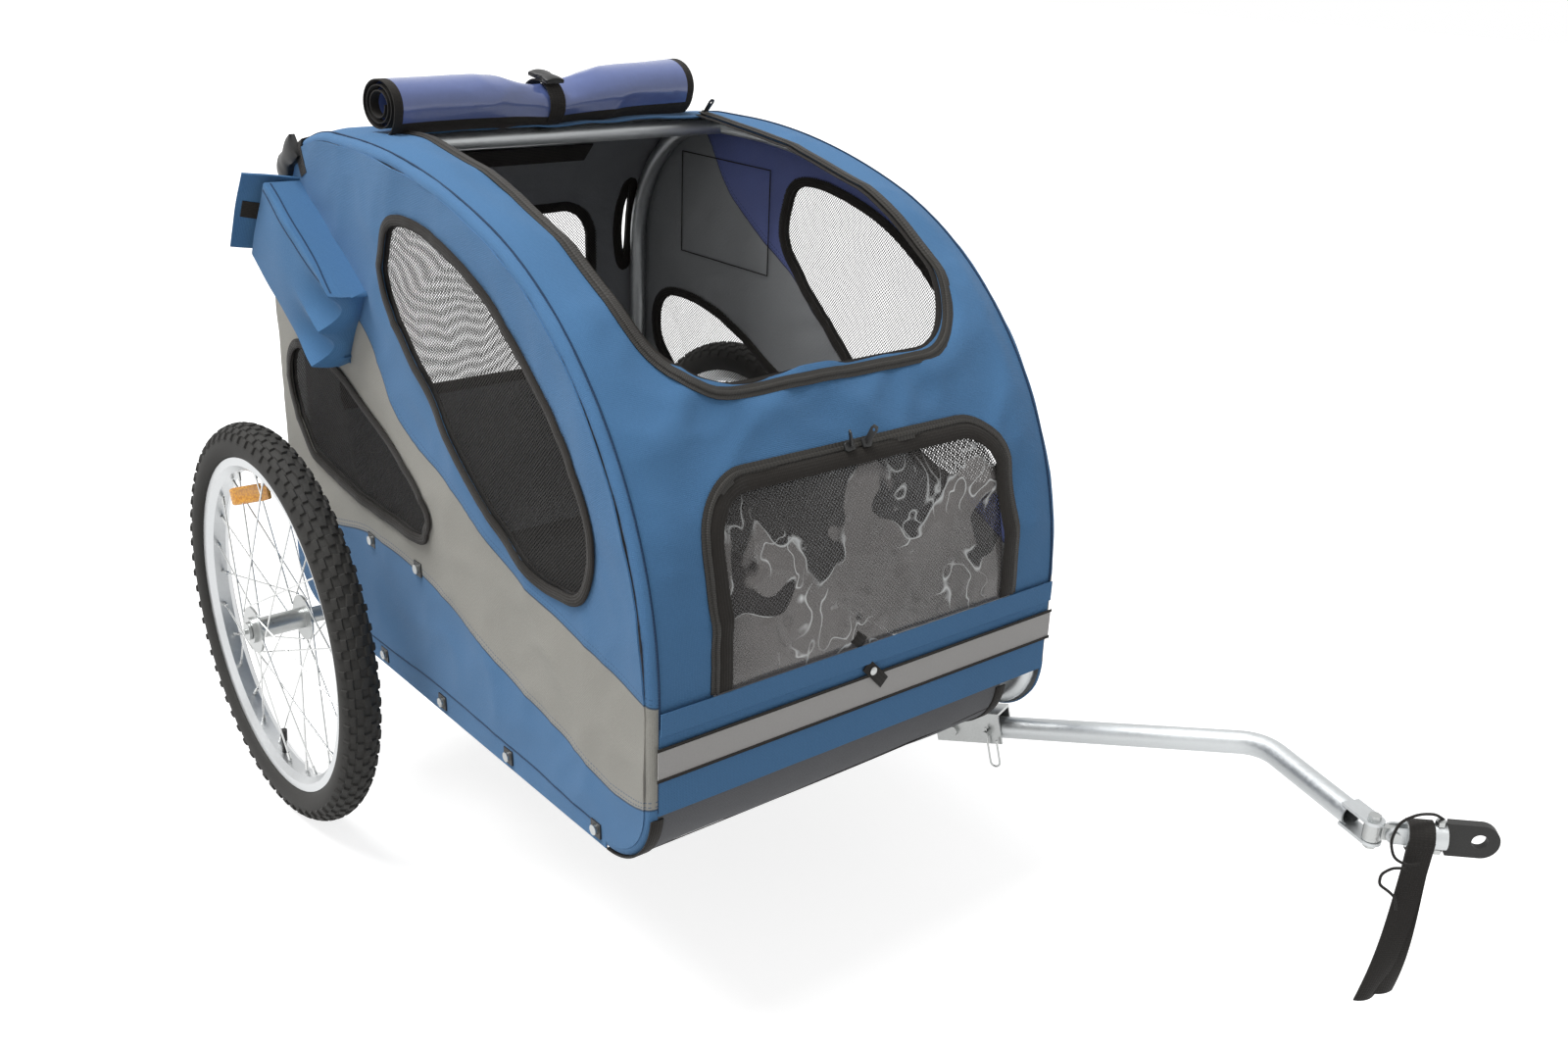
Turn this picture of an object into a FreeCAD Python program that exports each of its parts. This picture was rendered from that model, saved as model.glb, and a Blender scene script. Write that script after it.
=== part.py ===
import FreeCAD, Part
import math
import os
import re
from types import SimpleNamespace

import Sketcher

os.makedirs("parts", exist_ok=True)
doc = FreeCAD.newDocument("dog_trailer")
sheet = doc.addObject("Spreadsheet::Sheet", "Sizes")

# Every size that can be set by itself, in millimetres, degrees or counts
SIZES = {
    # wheels
    "tyre_rise": 41, "tyre_section": 50, "tyre_wall": 3.6, "sleeve_length": 44.2,
    "rim_od": 424, "rim_depth": 17, "rim_width": 30, "rim_wall": 2.4, "rim_well": 7, "seat_gap": 0.3,
    "hub_flange_od": 58, "hub_flange_pitch": 62.8, "hub_flange_wall": 3, "hub_barrel_od": 26,
    "hub_length": 74, "hub_end_od": 32,
    "axle_od": 12, "run_gap": 0.05, "axle_head_od": 22, "axle_head_width": 3.4, "axle_stand_off": 0.6,
    "button_od": 7, "button_proud": 3.2, "button_depth": 12, "button_room": 4,
    "spokes_per_flange": 14, "spoke_od": 2.2, "spoke_circle": 50, "spoke_lean": 62, "spoke_spread": 3.4,
    "nipple_od": 4.4, "nipple_length": 11,
    "reflector_length": 58, "reflector_height": 22, "reflector_wall": 7, "reflector_inset": 31,
    "reflector_turn": 70, "valve_od": 6, "valve_length": 34, "valve_turn": -83, "valve_cap_od": 8.4,
    "valve_cap_length": 16,
    # tube frame
    "tube_od": 22, "tube_wall": 1.6, "hoop_track": 524, "front_x": 670, "rear_x": -135, "rail_z": 234,
    "corner_r": 62, "bow_z": 400, "bow_r": 410, "bow_angle": 72, "crown_r": 900, "roof_flat": 53.6,
    "roof_bar_fore": 7, "front_cross_x": 550, "mid_cross_x": 250, "rear_cross_x": -50,
    "floor_wall": 4, "floor_margin": 22,
    "plate_wall": 4, "plate_top_width": 78, "plate_foot_width": 30, "plate_rise": 26, "plate_drop": 116,
    "plate_shoulder": 74, "plate_slot_width": 9, "plate_slot_length": 44, "sleeve_od": 20,
    "plate_bolt_pitch": 50, "bolt_od": 7, "bolt_head_od": 13, "bolt_head_height": 5, "slip_gap": 0.2,
    # cover
    "cover_grow": 15, "cloth": 2.4, "cover_room": 5, "trim_wall": 0.8, "band_top_z": 388,
    "strip_low_z": 334, "strip_high_z": 365, "mesh_wall": 1, "mesh_lap": 8, "vinyl_wall": 0.8, "apron_gap": 72,
    "door_low_z": 394, "door_side": 72, "door_high_z": 602, "door_corner_r": 62, "door_rim": 17,
    "door_gap": 0.6, "roof_mouth_side": 70, "roof_mouth_front_x": 592, "roof_mouth_back": 20.6,
    "roof_mouth_r": 84, "front_top_angle": 55,
    "rear_window_low_z": 470, "rear_window_high_z": 705, "rear_window_side": 86, "rear_window_r": 55,
    "roll_length": 446, "roll_r": 34, "roll_core_r": 13, "roll_turns": 3.2, "roll_wall": 3.2, "roll_skew": 8,
    "roll_fore": 11, "roll_shift": 16, "roll_steps": 48,
    "strap_width": 22, "strap_wall": 1.6, "buckle_length": 40, "buckle_width": 30,
    "buckle_wall": 11, "buckle_turn": 50,
    "corner_buckle_length": 56, "corner_buckle_width": 30, "corner_buckle_wall": 14,
    "corner_buckle_at": 122.6, "corner_buckle_rise": 4.7, "corner_buckle_turn": 42,
    "pocket_length": 188, "pocket_height": 112, "pocket_depth": 46, "pocket_turn": 32,
    "pocket_fore": 21.97, "pocket_below": 20.23, "pocket_gusset": 13, "flap_length": 66, "flap_open": 76,
    "flap_wall": 2.4, "flap_gap": 1.2,
    "washer_side": 17, "washer_wall": 2.2, "screw_head_od": 11, "screw_head_height": 3.4,
    "zip_slider_length": 26, "zip_slider_width": 9, "zip_slider_wall": 4,
    # tow bar and hitch
    "tow_od": 26, "tow_wall": 2, "tow_x": 588, "tow_inset": 14, "tow_z": 180, "tow_yaw": 19, "tow_rise": 14.5,
    "tow_first": 368.7, "tow_second": 177, "tow_second_yaw": -19.6, "tow_bend_r": 70, "tow_tail": 14,
    "tow_bolt_od": 8, "lock_pin_pitch": 46, "lock_pin_od": 8, "lock_pin_slack": 6, "bracket_wall": 3,
    "bracket_gap": 0.5, "bracket_roof": 20.5, "bracket_skirt": 15, "bracket_front": 62, "bracket_back": 24,
    "stud_od": 12, "pin_proud": 10, "pin_far_proud": 3, "clip_wire": 2.4, "clip_length": 44,
    "clip_loop_r": 6, "clip_rise": 8, "stud_at": 20,
    "fork_wall": 3.4, "fork_width": 21, "fork_reach": 30, "fork_lap": 6, "swing_bolt_od": 8, "link_eye_od": 18,
    "link_arm": 20, "link_arm_width": 8, "link_arm_height": 14, "hitch_gap": 0.4, "tilt_pin_od": 6,
    "tilt_head_od": 10, "tilt_head_width": 2, "hitch_yaw": 42, "hitch_rise": 2,
    "hitch_tube_length": 38, "hitch_tube_start": 11, "ear_wall": 3, "ear_height": 17,
    "tongue_length": 74, "tongue_inside": 24, "tongue_neck": 19, "tongue_height": 36, "tongue_wall": 10,
    "tongue_hole_od": 16, "tongue_hole_inset": 19, "hitch_bolt_od": 6, "hitch_bolt_inset": 6.5, "nut_od": 11,
    "nut_height": 5, "webbing_width": 24, "webbing_wall": 2.6, "webbing_drop": 170, "webbing_sway": 10,
    "webbing_inset": 1,
    # shared overrun for cuts
    "over": 6,
}
# Sizes that profiles need and that follow from the ones above
DERIVED = {
    "wheel_od": "rim_od + 2 * tyre_rise",
    "cover_width": "hoop_track + tube_od + 2 * cover_room",
    "door_half_width": "cover_width / 2 - door_side", "roof_mouth_half": "cover_width / 2 - roof_mouth_side",
    "rear_window_half": "cover_width / 2 - rear_window_side",
    "track": "cover_width + hub_length + 2 * (slip_gap + plate_wall + sleeve_length + axle_stand_off)",
    "rim_r": "rim_od / 2", "rim_in_r": "rim_od / 2 - rim_depth",
    "rim_floor_r": "rim_od / 2 - rim_depth + rim_wall",
    "rim_mid_r": "rim_od / 2 - rim_depth + rim_well", "rim_far_well": "rim_width - rim_well",
    "rim_far_wall": "rim_width - rim_wall",
    "hub_bore_r": "axle_od / 2 + run_gap", "hub_flange_r": "hub_flange_od / 2",
    "hub_barrel_r": "hub_barrel_od / 2", "hub_end_r": "hub_end_od / 2",
    "flange_a": "(hub_length - hub_flange_pitch - hub_flange_wall) / 2", "flange_b": "flange_a + hub_flange_wall",
    "flange_c": "flange_a + hub_flange_pitch", "flange_d": "flange_b + hub_flange_pitch",
    "plate_height": "plate_rise + plate_drop", "plate_foot_left": "(plate_top_width - plate_foot_width) / 2",
    "plate_foot_right": "(plate_top_width + plate_foot_width) / 2",
    "axle_length": "plate_wall + sleeve_length + axle_stand_off * 2 + hub_length",
    "axle_full": "axle_length + axle_head_width", "axle_r": "axle_od / 2", "axle_head_r": "axle_head_od / 2",
    "bracket_width": "tow_od + 2 * bracket_gap + 2 * bracket_wall",
    "bracket_length": "bracket_front + bracket_back",
    "bracket_inner": "bracket_width - bracket_wall", "bracket_under": "bracket_roof + bracket_skirt",
    "bracket_height": "bracket_roof + bracket_skirt + bracket_wall",
    "tongue_straight": "tongue_length - tongue_inside - tongue_height / 2",
    "pocket_fold": "pocket_depth / 2", "pocket_in_low": "pocket_gusset + cloth",
    "pocket_in_deep": "pocket_depth - cloth", "pocket_in_high": "pocket_height - cloth",
    "pocket_in_length": "pocket_length - cloth + over",
}
for row, (alias, text) in enumerate({**SIZES, **DERIVED}.items(), start=1):
    sheet.set(f"A{row}", alias)
    sheet.set(f"B{row}", str(text) if alias in SIZES else "=" + text)
    sheet.setAlias(f"B{row}", alias)
doc.recompute()
S = SimpleNamespace(**{alias: float(sheet.get(alias)) for alias in {**SIZES, **DERIVED}})

V = FreeCAD.Vector
UP = V(0, 0, 1)
ACROSS = V(0, 1, 0)
nodes = {}


def sin(angle):
    return math.sin(math.radians(angle))


def cos(angle):
    return math.cos(math.radians(angle))


# Places that several pieces share, in a frame whose x = 0 is the wheel axle and z = 0 the ground
wheel_r = S.wheel_od / 2
wheel_y = S.track / 2
tube_r = S.tube_od / 2
hoop_y = S.hoop_track / 2
cover_y = S.cover_width / 2
cloth_in = S.cover_grow - S.cloth
bow_x = S.front_x - S.bow_r
crown_x = bow_x + (S.bow_r - S.crown_r) * cos(S.bow_angle)
crown_z = S.bow_z + (S.bow_r - S.crown_r) * sin(S.bow_angle)
top_z = crown_z + S.crown_r
rear_top_x = crown_x - S.roof_flat
rear_r = rear_top_x - S.rear_x
rear_top_z = top_z - rear_r
mouth_rear_x = crown_x - S.roof_mouth_back
corner_z = S.rail_z + S.corner_r
tow_r = S.tow_od / 2

# Directions and points of the tow bar and the hitch
tow_dir = V(cos(S.tow_yaw) * cos(S.tow_rise), sin(S.tow_yaw) * cos(S.tow_rise), sin(S.tow_rise))
tow_side = V(-sin(S.tow_yaw), cos(S.tow_yaw), 0)
tow_up = tow_dir.cross(tow_side)
second_dir = V(cos(S.tow_second_yaw), sin(S.tow_second_yaw), 0)
second_side = UP.cross(second_dir)
hitch_flat = V(cos(S.hitch_yaw), sin(S.hitch_yaw), 0)
hitch_dir = hitch_flat * cos(S.hitch_rise) + UP * sin(S.hitch_rise)
hitch_side = UP.cross(hitch_flat)
hitch_up = hitch_dir.cross(hitch_side)
tow_pivot = V(S.tow_x, hoop_y - S.tow_inset, S.tow_z)
tow_apex = tow_pivot + tow_dir * S.tow_first
swing_point = tow_apex + second_dir * S.tow_second
tilt_point = swing_point + hitch_flat * S.link_arm
hitch_start = tilt_point + hitch_dir * S.hitch_tube_start
hitch_end = hitch_start + hitch_dir * S.hitch_tube_length
tongue_tip = hitch_end + hitch_dir * (S.tongue_length - S.tongue_inside)
tongue_eye = tongue_tip - hitch_dir * S.tongue_hole_inset
tongue_round = tongue_tip - hitch_dir * (S.tongue_height / 2)
# The row's origin is below the middle of the whole length, so the tongue's foremost point sets it
nose_x = tongue_round.x + S.tongue_height / 2 * math.hypot(hitch_dir.x, hitch_up.x)
nose_x += S.tongue_wall / 2 * abs(hitch_side.x)
origin = V((nose_x - wheel_r) / 2, 0, 0)


def bind(thing, **texts):
    """Bind properties to formulas written in the sheet's names."""
    for prop, text in texts.items():
        named = re.sub(r"[a-z_]+", lambda found: "Sizes." + found.group(0) if hasattr(S, found.group(0))
                       else found.group(0), text)
        thing.setExpression(prop, named)


def frame_at(point, x_dir, z_dir):
    """A placement at a point of the axle frame, with its x and z along two square directions."""
    return FreeCAD.Placement(point - origin, FreeCAD.Rotation(x_dir, V(), z_dir, "XZY"))


def along(point, direction):
    """A placement at a point of the axle frame, with its z along a direction."""
    return FreeCAD.Placement(point - origin, FreeCAD.Rotation(UP, direction))


HOME = FreeCAD.Placement(-origin, FreeCAD.Rotation())


def keep(label, thing):
    """Name an object as a node of the part."""
    thing.Label = label
    nodes[label] = thing
    return thing


def solid(label, shape, place=HOME):
    """A node whose shape comes straight from edges, faces and sweeps."""
    thing = doc.addObject("Part::Feature", label)
    thing.Shape = shape
    thing.Placement = place.multiply(shape.Placement)
    return thing


def cylinder(name, radius, height, place=FreeCAD.Placement()):
    thing = doc.addObject("Part::Cylinder", name)
    bind(thing, Radius=radius, Height=height)
    thing.Placement = place
    return thing


def block(name, length, width, height, place=FreeCAD.Placement()):
    thing = doc.addObject("Part::Box", name)
    bind(thing, Length=length, Width=width, Height=height)
    thing.Placement = place
    return thing


def cut(name, base, *tools):
    for tool in tools:
        result = doc.addObject("Part::Cut", name)
        result.Base = base
        result.Tool = tool
        base = result
    doc.recompute()
    return base


def fuse(name, *things):
    result = doc.addObject("Part::MultiFuse", name)
    result.Shapes = list(things)
    doc.recompute()
    return result


def group(name, things):
    result = doc.addObject("Part::Compound", name)
    result.Links = list(things)
    doc.recompute()
    return result


def moved(x=0, y=0, z=0, turn=FreeCAD.Rotation()):
    return FreeCAD.Placement(V(x, y, z), turn)


# Rotations that lay a z-long shape along x or y
ALONG_X = FreeCAD.Rotation(UP, V(1, 0, 0))
ALONG_Y = FreeCAD.Rotation(UP, ACROSS)


def number_of(text):
    """The value of a sheet name with an optional part taken of it, such as 'tube_od / 2'."""
    name, _, part = text.partition(" / ")
    return getattr(S, name) / (float(part) if part else 1)


def body_with_profile(name, plane, corners):
    """A body and a closed sketch on one of its planes, each corner bound to the sheet."""
    body = doc.addObject("PartDesign::Body", name)
    profile = body.newObject("Sketcher::SketchObject", name + "_profile")
    support = next(item for item in body.Origin.OriginFeatures if item.Role == plane)
    profile.AttachmentSupport = [(support, "")]
    profile.MapMode = "FlatFace"
    spots = [V(number_of(x) if x else 0, number_of(y) if y else 0, 0) for x, y in corners]
    for first, second in zip(spots, spots[1:] + spots[:1]):
        profile.addGeometry(Part.LineSegment(first, second))
    count = len(spots)
    for index in range(count):
        profile.addConstraint(Sketcher.Constraint("Coincident", index, 2, (index + 1) % count, 1))
    for index, corner in enumerate(corners):
        for text, kind, axis in zip(corner, ("DistanceX", "DistanceY"), (-2, -1)):
            if not text:
                profile.addConstraint(Sketcher.Constraint("PointOnObject", index, 1, axis))
                continue
            at = profile.addConstraint(Sketcher.Constraint(kind, -1, 1, index, 1, number_of(text)))
            bind(profile, **{f"Constraints[{at}]": text})
    return body, profile


def turned(name, corners, place):
    """A revolved body: corners are (radius, distance along its y axis)."""
    body, profile = body_with_profile(name, "XY_Plane", corners)
    turn = body.newObject("PartDesign::Revolution", name + "_turn")
    turn.Profile = profile
    turn.ReferenceAxis = (profile, ["V_Axis"])
    turn.Angle = 360
    profile.Visibility = False
    body.Placement = place
    doc.recompute()
    return body


def padded(name, plane, corners, depth, place):
    """A body padded from a profile by a length of the sheet."""
    body, profile = body_with_profile(name, plane, corners)
    pad = body.newObject("PartDesign::Pad", name + "_pad")
    pad.Profile = profile
    bind(pad, Length=depth)
    body.Placement = place
    doc.recompute()
    return body


# Pieces of the side outline, each grown outwards from the tube's middle line
def arc(x, z, radius, start, stop):
    marks = (start, (start + stop) / 2, stop)
    return Part.Arc(*[V(x + radius * cos(mark), 0, z + radius * sin(mark)) for mark in marks]).toShape()


def front_corner(grow, start, stop):
    return arc(S.front_x - S.corner_r, corner_z, S.corner_r + grow, start, stop)


def front_wall(grow, low, high):
    return Part.makeLine(V(S.front_x + grow, 0, low), V(S.front_x + grow, 0, high))


def bow(grow, start, stop):
    return arc(bow_x, S.bow_z, S.bow_r + grow, start, stop)


def crown(grow, start, stop):
    return arc(crown_x, crown_z, S.crown_r + grow, start, stop)


def roof(grow, fore, aft):
    return Part.makeLine(V(fore, 0, top_z + grow), V(aft, 0, top_z + grow))


def rear_top(grow, start, stop):
    return arc(rear_top_x, rear_top_z, rear_r + grow, start, stop)


def rear_wall(grow, high, low):
    return Part.makeLine(V(S.rear_x - grow, 0, high), V(S.rear_x - grow, 0, low))


def rear_corner(grow, start, stop):
    return arc(S.rear_x + S.corner_r, corner_z, S.corner_r + grow, start, stop)


def foot(grow, aft, fore):
    return Part.makeLine(V(aft, 0, S.rail_z - grow), V(fore, 0, S.rail_z - grow))


rail_aft = S.rear_x + S.corner_r
rail_fore = S.front_x - S.corner_r
BOW_RUN = [(front_corner, -90, 0), (front_wall, corner_z, S.bow_z), (bow, 0, S.bow_angle),
           (crown, S.bow_angle, 90), (roof, crown_x, rear_top_x), (rear_top, 90, 180),
           (rear_wall, rear_top_z, corner_z), (rear_corner, 180, 270)]
FOOT_RUN = [(foot, rail_aft, rail_fore)]


def edges_of(run, grow):
    return [piece(grow, start, stop) for piece, start, stop in run]


def bent_tube(edges, od, wall):
    """A hollow tube whose middle line is a chain of tangent edges."""
    path = Part.Wire(edges)
    first = edges[0]
    begin = first.valueAt(first.FirstParameter)
    heading = first.tangentAt(first.FirstParameter)
    rings = [Part.Wire(Part.Circle(begin, heading, radius).toShape()) for radius in (od / 2, od / 2 - wall)]
    outer, inner = [path.makePipeShell([ring], True, False) for ring in rings]
    return outer.cut(inner)


def end_points(edges):
    return edges[0].valueAt(edges[0].FirstParameter), edges[-1].valueAt(edges[-1].LastParameter)


def sheet_over(run, half_width, grow_in=cloth_in, grow_out=S.cover_grow):
    """Cloth that follows part of the outline, from side to side."""
    inner, outer = edges_of(run, grow_in), edges_of(run, grow_out)
    caps = [Part.makeLine(a, b) for a, b in zip(end_points(inner), end_points(outer))]
    wire = Part.Wire(Part.__sortEdges__(inner + outer + caps))
    cloth = Part.Face(wire).extrude(ACROSS * (2 * half_width))
    cloth.translate(ACROSS * -half_width)
    return cloth


def arch_prism(half, low, high, radius, spot, depth):
    """A prism over an outline that is square at its low end and rounded at its high end."""
    lean = radius * (1 - cos(45))
    marks = [(-half, low), (half, low), (half, high - radius), (half - lean, high - lean),
             (half - radius, high), (radius - half, high), (lean - half, high - lean), (-half, high - radius)]
    at = [spot(across, up) for across, up in marks]
    edges = [Part.makeLine(at[0], at[1]), Part.makeLine(at[1], at[2]), Part.Arc(at[2], at[3], at[4]).toShape(),
             Part.makeLine(at[4], at[5]), Part.Arc(at[5], at[6], at[7]).toShape(), Part.makeLine(at[7], at[0])]
    return Part.Face(Part.Wire(edges)).extrude(depth)


# Frame tubes
SIDES = {"right": -1, "left": 1}
for side, sign in SIDES.items():
    tube = solid(f"side_bow_{side}", bent_tube(edges_of(BOW_RUN, 0), S.tube_od, S.tube_wall))
    tube.Placement = moved(-origin.x, sign * hoop_y)
    keep(f"side_bow_{side}", tube)


def straight_tube(name, length, place):
    outer = cylinder(name + "_outer", "tube_od / 2", length, place)
    inner = cylinder(name + "_inner", "tube_od / 2 - tube_wall", length, place)
    return cut(name, outer, inner)


def at(x, y, z, turn=FreeCAD.Rotation()):
    return FreeCAD.Placement(V(x, y, z) - origin, turn)


rails = [straight_tube(f"rail_{side}", "front_x - rear_x - 2 * corner_r",
                       at(rail_aft, sign * hoop_y, S.rail_z, ALONG_X)) for side, sign in SIDES.items()]


def cross_tube(name, x, z):
    """A tube across the frame whose ends are coped to the side tubes."""
    bare = straight_tube(name + "_bare", "hoop_track", at(x, -hoop_y, z, ALONG_Y))
    copes = [cylinder(f"{name}_cope_{side}", "tube_od / 2", "tube_od * 4",
                      at(x - 2 * S.tube_od, sign * hoop_y, z, ALONG_X)) for side, sign in SIDES.items()]
    return cut(name, bare, *copes)


crosses = [cross_tube(f"cross_{index}", x, S.rail_z)
           for index, x in enumerate((S.front_cross_x, S.mid_cross_x, S.rear_cross_x))]
keep("floor_frame", group("floor_frame", rails + crosses))
keep("roof_bar", cross_tube("roof_bar", rear_top_x + S.roof_bar_fore, top_z))
keep("floor_board", block("floor_board", "front_x - rear_x - 2 * floor_margin",
                          "hoop_track - tube_od - 2 * slip_gap", "floor_wall",
                          at(S.rear_x + S.floor_margin, tube_r + S.slip_gap - hoop_y,
                             S.rail_z + tube_r + S.slip_gap)))

# Axle plates with sleeve, bolts, stub axles and their buttons
plate_y = cover_y + S.slip_gap
plate_low = wheel_r - S.plate_drop
bolt_spots = [V(x, 0, S.rail_z) for x in (-S.plate_bolt_pitch / 2, S.plate_bolt_pitch / 2)]
plate_bolts = []
cover_holes = {side: [] for side in SIDES}
for side, sign in SIDES.items():
    out = ACROSS * sign
    blank = padded(f"plate_{side}", "XZ_Plane",
                   [("plate_foot_left", ""), ("plate_foot_right", ""), ("plate_top_width", "plate_shoulder"),
                    ("plate_top_width", "plate_height"), ("", "plate_height"), ("", "plate_shoulder")],
                   "plate_wall", at(-S.plate_top_width / 2, sign * plate_y + (S.plate_wall if sign > 0 else 0),
                                    plate_low))
    sleeve = cylinder(f"sleeve_{side}", "sleeve_od / 2", "sleeve_length",
                      along(V(0, sign * (plate_y + S.plate_wall), wheel_r), out))
    bore = cylinder(f"sleeve_bore_{side}", "axle_od / 2 + run_gap", "track",
                    along(V(0, 0, wheel_r), out))
    slot = block(f"plate_slot_{side}", "plate_slot_width", "plate_wall * 4", "plate_slot_length",
                 at(-S.plate_slot_width / 2, sign * plate_y - 2 * S.plate_wall, plate_low + S.plate_slot_width))
    holes = []
    for index, spot in enumerate(bolt_spots):
        name = f"plate_bolt_{side}_{index}"
        holes.append(cylinder(name + "_hole", "bolt_od / 2 + slip_gap", "cover_width",
                              along(spot, out)))
        shank = cylinder(name + "_shank", "bolt_od / 2",
                         "cover_room + slip_gap + plate_wall",
                         along(spot + out * (hoop_y + tube_r), out))
        head = doc.addObject("Part::Prism", name + "_head")
        head.Polygon = 6
        bind(head, Circumradius="bolt_head_od / 2", Height="bolt_head_height")
        head.Placement = along(spot + out * (plate_y + S.plate_wall), out)
        plate_bolts.append(fuse(name, shank, head))
    cover_holes[side] = holes
    keep(f"axle_plate_{side}", cut(f"axle_plate_{side}", fuse(f"plate_sleeve_{side}", blank, sleeve),
                                   bore, slot, *holes))
    spindle = turned(f"spindle_{side}",
                     [("", ""), ("axle_r", ""), ("axle_r", "axle_length"), ("axle_head_r", "axle_length"),
                      ("axle_head_r", "axle_full"), ("", "axle_full")],
                     frame_at(V(0, sign * plate_y, wheel_r), V(sign, 0, 0), UP))
    head_y = plate_y + S.axle_full
    pit = cylinder(f"button_pit_{side}", "button_od / 2 + run_gap", "button_depth",
                   along(V(0, sign * (head_y - S.button_depth), wheel_r), out))
    keep(f"axle_{side}", cut(f"axle_{side}", spindle, pit))
    button_y = head_y - S.button_depth + S.button_room
    keep(f"axle_button_{side}", cylinder(f"axle_button_{side}", "button_od / 2",
                                         "button_depth - button_room + button_proud",
                                         along(V(0, sign * button_y, wheel_r), out)))
keep("plate_bolts", group("plate_bolts", plate_bolts))

# Wheels: x forward, y outward and z up from the wheel's centre
spoke_foot_r = S.hub_flange_r + S.spoke_od / 2 + S.seat_gap
nipple_lean_share = 0.25
spoke_tip_r = S.rim_in_r - S.seat_gap - S.nipple_od * nipple_lean_share


def spoke(index, flange):
    """One straight spoke with its nipple, from the flange's edge to the rim."""
    step = 360 / S.spokes_per_flange
    lean = S.spoke_lean if index % 2 else -S.spoke_lean
    tip_turn = (index + (0.5 if flange > 0 else 0)) * step
    foot_turn = tip_turn - lean
    foot_y = flange * S.hub_flange_pitch / 2 + (S.spoke_spread if index % 2 else -S.spoke_spread) / 2
    start = V(spoke_foot_r * cos(foot_turn), foot_y, spoke_foot_r * sin(foot_turn))
    stop = V(spoke_tip_r * cos(tip_turn), flange * S.spoke_od, spoke_tip_r * sin(tip_turn))
    run = stop - start
    wire = Part.makeCylinder(S.spoke_od / 2, run.Length, start, run)
    inward = run.normalize() * -1
    nipple = Part.makeCylinder(S.nipple_od / 2, S.nipple_length, stop, inward)
    return wire.fuse(nipple)


tyre_r = wheel_r - S.tyre_section / 2
for side, sign in SIDES.items():
    hub_place = frame_at(V(0, sign * wheel_y, wheel_r), V(sign, 0, 0), UP)
    outer = doc.addObject("Part::Torus", f"tyre_outer_{side}")
    bind(outer, Radius1="(wheel_od - tyre_section) / 2", Radius2="tyre_section / 2")
    inner = doc.addObject("Part::Torus", f"tyre_inner_{side}")
    bind(inner, Radius1="(wheel_od - tyre_section) / 2", Radius2="tyre_section / 2 - tyre_wall")
    bed = cylinder(f"tyre_bed_{side}", "rim_od / 2 + seat_gap", "tyre_section * 2", moved(z=-S.tyre_section))
    tyre = cut(f"tyre_{side}", outer, inner, bed)
    tyre.Placement = hub_place.multiply(moved(turn=ALONG_Y))
    keep(f"tyre_{side}", tyre)
    rim = turned(f"rim_{side}",
                 [("rim_in_r", "rim_well"), ("rim_in_r", "rim_far_well"), ("rim_mid_r", "rim_width"),
                  ("rim_r", "rim_width"), ("rim_r", "rim_far_wall"), ("rim_mid_r", "rim_far_wall"),
                  ("rim_floor_r", "rim_far_well"), ("rim_floor_r", "rim_well"), ("rim_mid_r", "rim_wall"),
                  ("rim_r", "rim_wall"), ("rim_r", ""), ("rim_mid_r", "")],
                 hub_place.multiply(moved(y=-S.rim_width / 2)))
    keep(f"rim_{side}", rim)
    hub = turned(f"hub_{side}",
                 [("hub_bore_r", ""), ("hub_end_r", ""), ("hub_end_r", "flange_a"), ("hub_flange_r", "flange_a"),
                  ("hub_flange_r", "flange_b"), ("hub_barrel_r", "flange_b"), ("hub_barrel_r", "flange_c"),
                  ("hub_flange_r", "flange_c"), ("hub_flange_r", "flange_d"), ("hub_end_r", "flange_d"),
                  ("hub_end_r", "hub_length"), ("hub_bore_r", "hub_length")],
                 hub_place.multiply(moved(y=-S.hub_length / 2)))
    keep(f"hub_{side}", hub)
    count = int(S.spokes_per_flange)
    lacing = Part.makeCompound([spoke(index, flange) for flange in (-1, 1) for index in range(count)])
    keep(f"spokes_{side}", solid(f"spokes_{side}", lacing, hub_place))
    plaque = block(f"reflector_{side}", "reflector_height", "reflector_wall", "reflector_length")
    plaque_r = S.rim_in_r - S.reflector_inset - S.reflector_height / 2
    plaque.Placement = hub_place.multiply(moved(turn=FreeCAD.Rotation(ACROSS, -S.reflector_turn))).multiply(
        moved(plaque_r, -S.reflector_wall / 2, -S.reflector_length / 2))
    keep(f"reflector_{side}", plaque)
    stem_place = hub_place.multiply(moved(turn=FreeCAD.Rotation(ACROSS, -S.valve_turn))).multiply(
        moved(S.rim_in_r - S.seat_gap - S.valve_length, 0, 0, ALONG_X))
    stem = cylinder(f"valve_stem_{side}", "valve_od / 2", "valve_length")
    cap = cylinder(f"valve_cap_{side}", "valve_cap_od / 2", "valve_cap_length")
    valve = fuse(f"valve_{side}", stem, cap)
    valve.Placement = stem_place
    keep(f"valve_{side}", valve)

# Cover: side walls with two windows each, given as shares of the outline's length and height
front_window_shares = [(0.425, 0.907), (0.393, 0.838), (0.391, 0.767), (0.442, 0.692), (0.507, 0.623),
                       (0.620, 0.493), (0.752, 0.400), (0.832, 0.392), (0.882, 0.417), (0.902, 0.522),
                       (0.860, 0.633), (0.775, 0.738), (0.652, 0.853), (0.529, 0.905)]
rear_window_shares = [(0.087, 0.583), (0.036, 0.542), (0.034, 0.460), (0.078, 0.390), (0.135, 0.347),
                      (0.282, 0.323), (0.455, 0.322), (0.486, 0.352), (0.489, 0.388), (0.448, 0.433),
                      (0.334, 0.505), (0.210, 0.572)]
WINDOWS = (front_window_shares, rear_window_shares)
cover_half = cover_y - S.cloth - S.slip_gap


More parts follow.
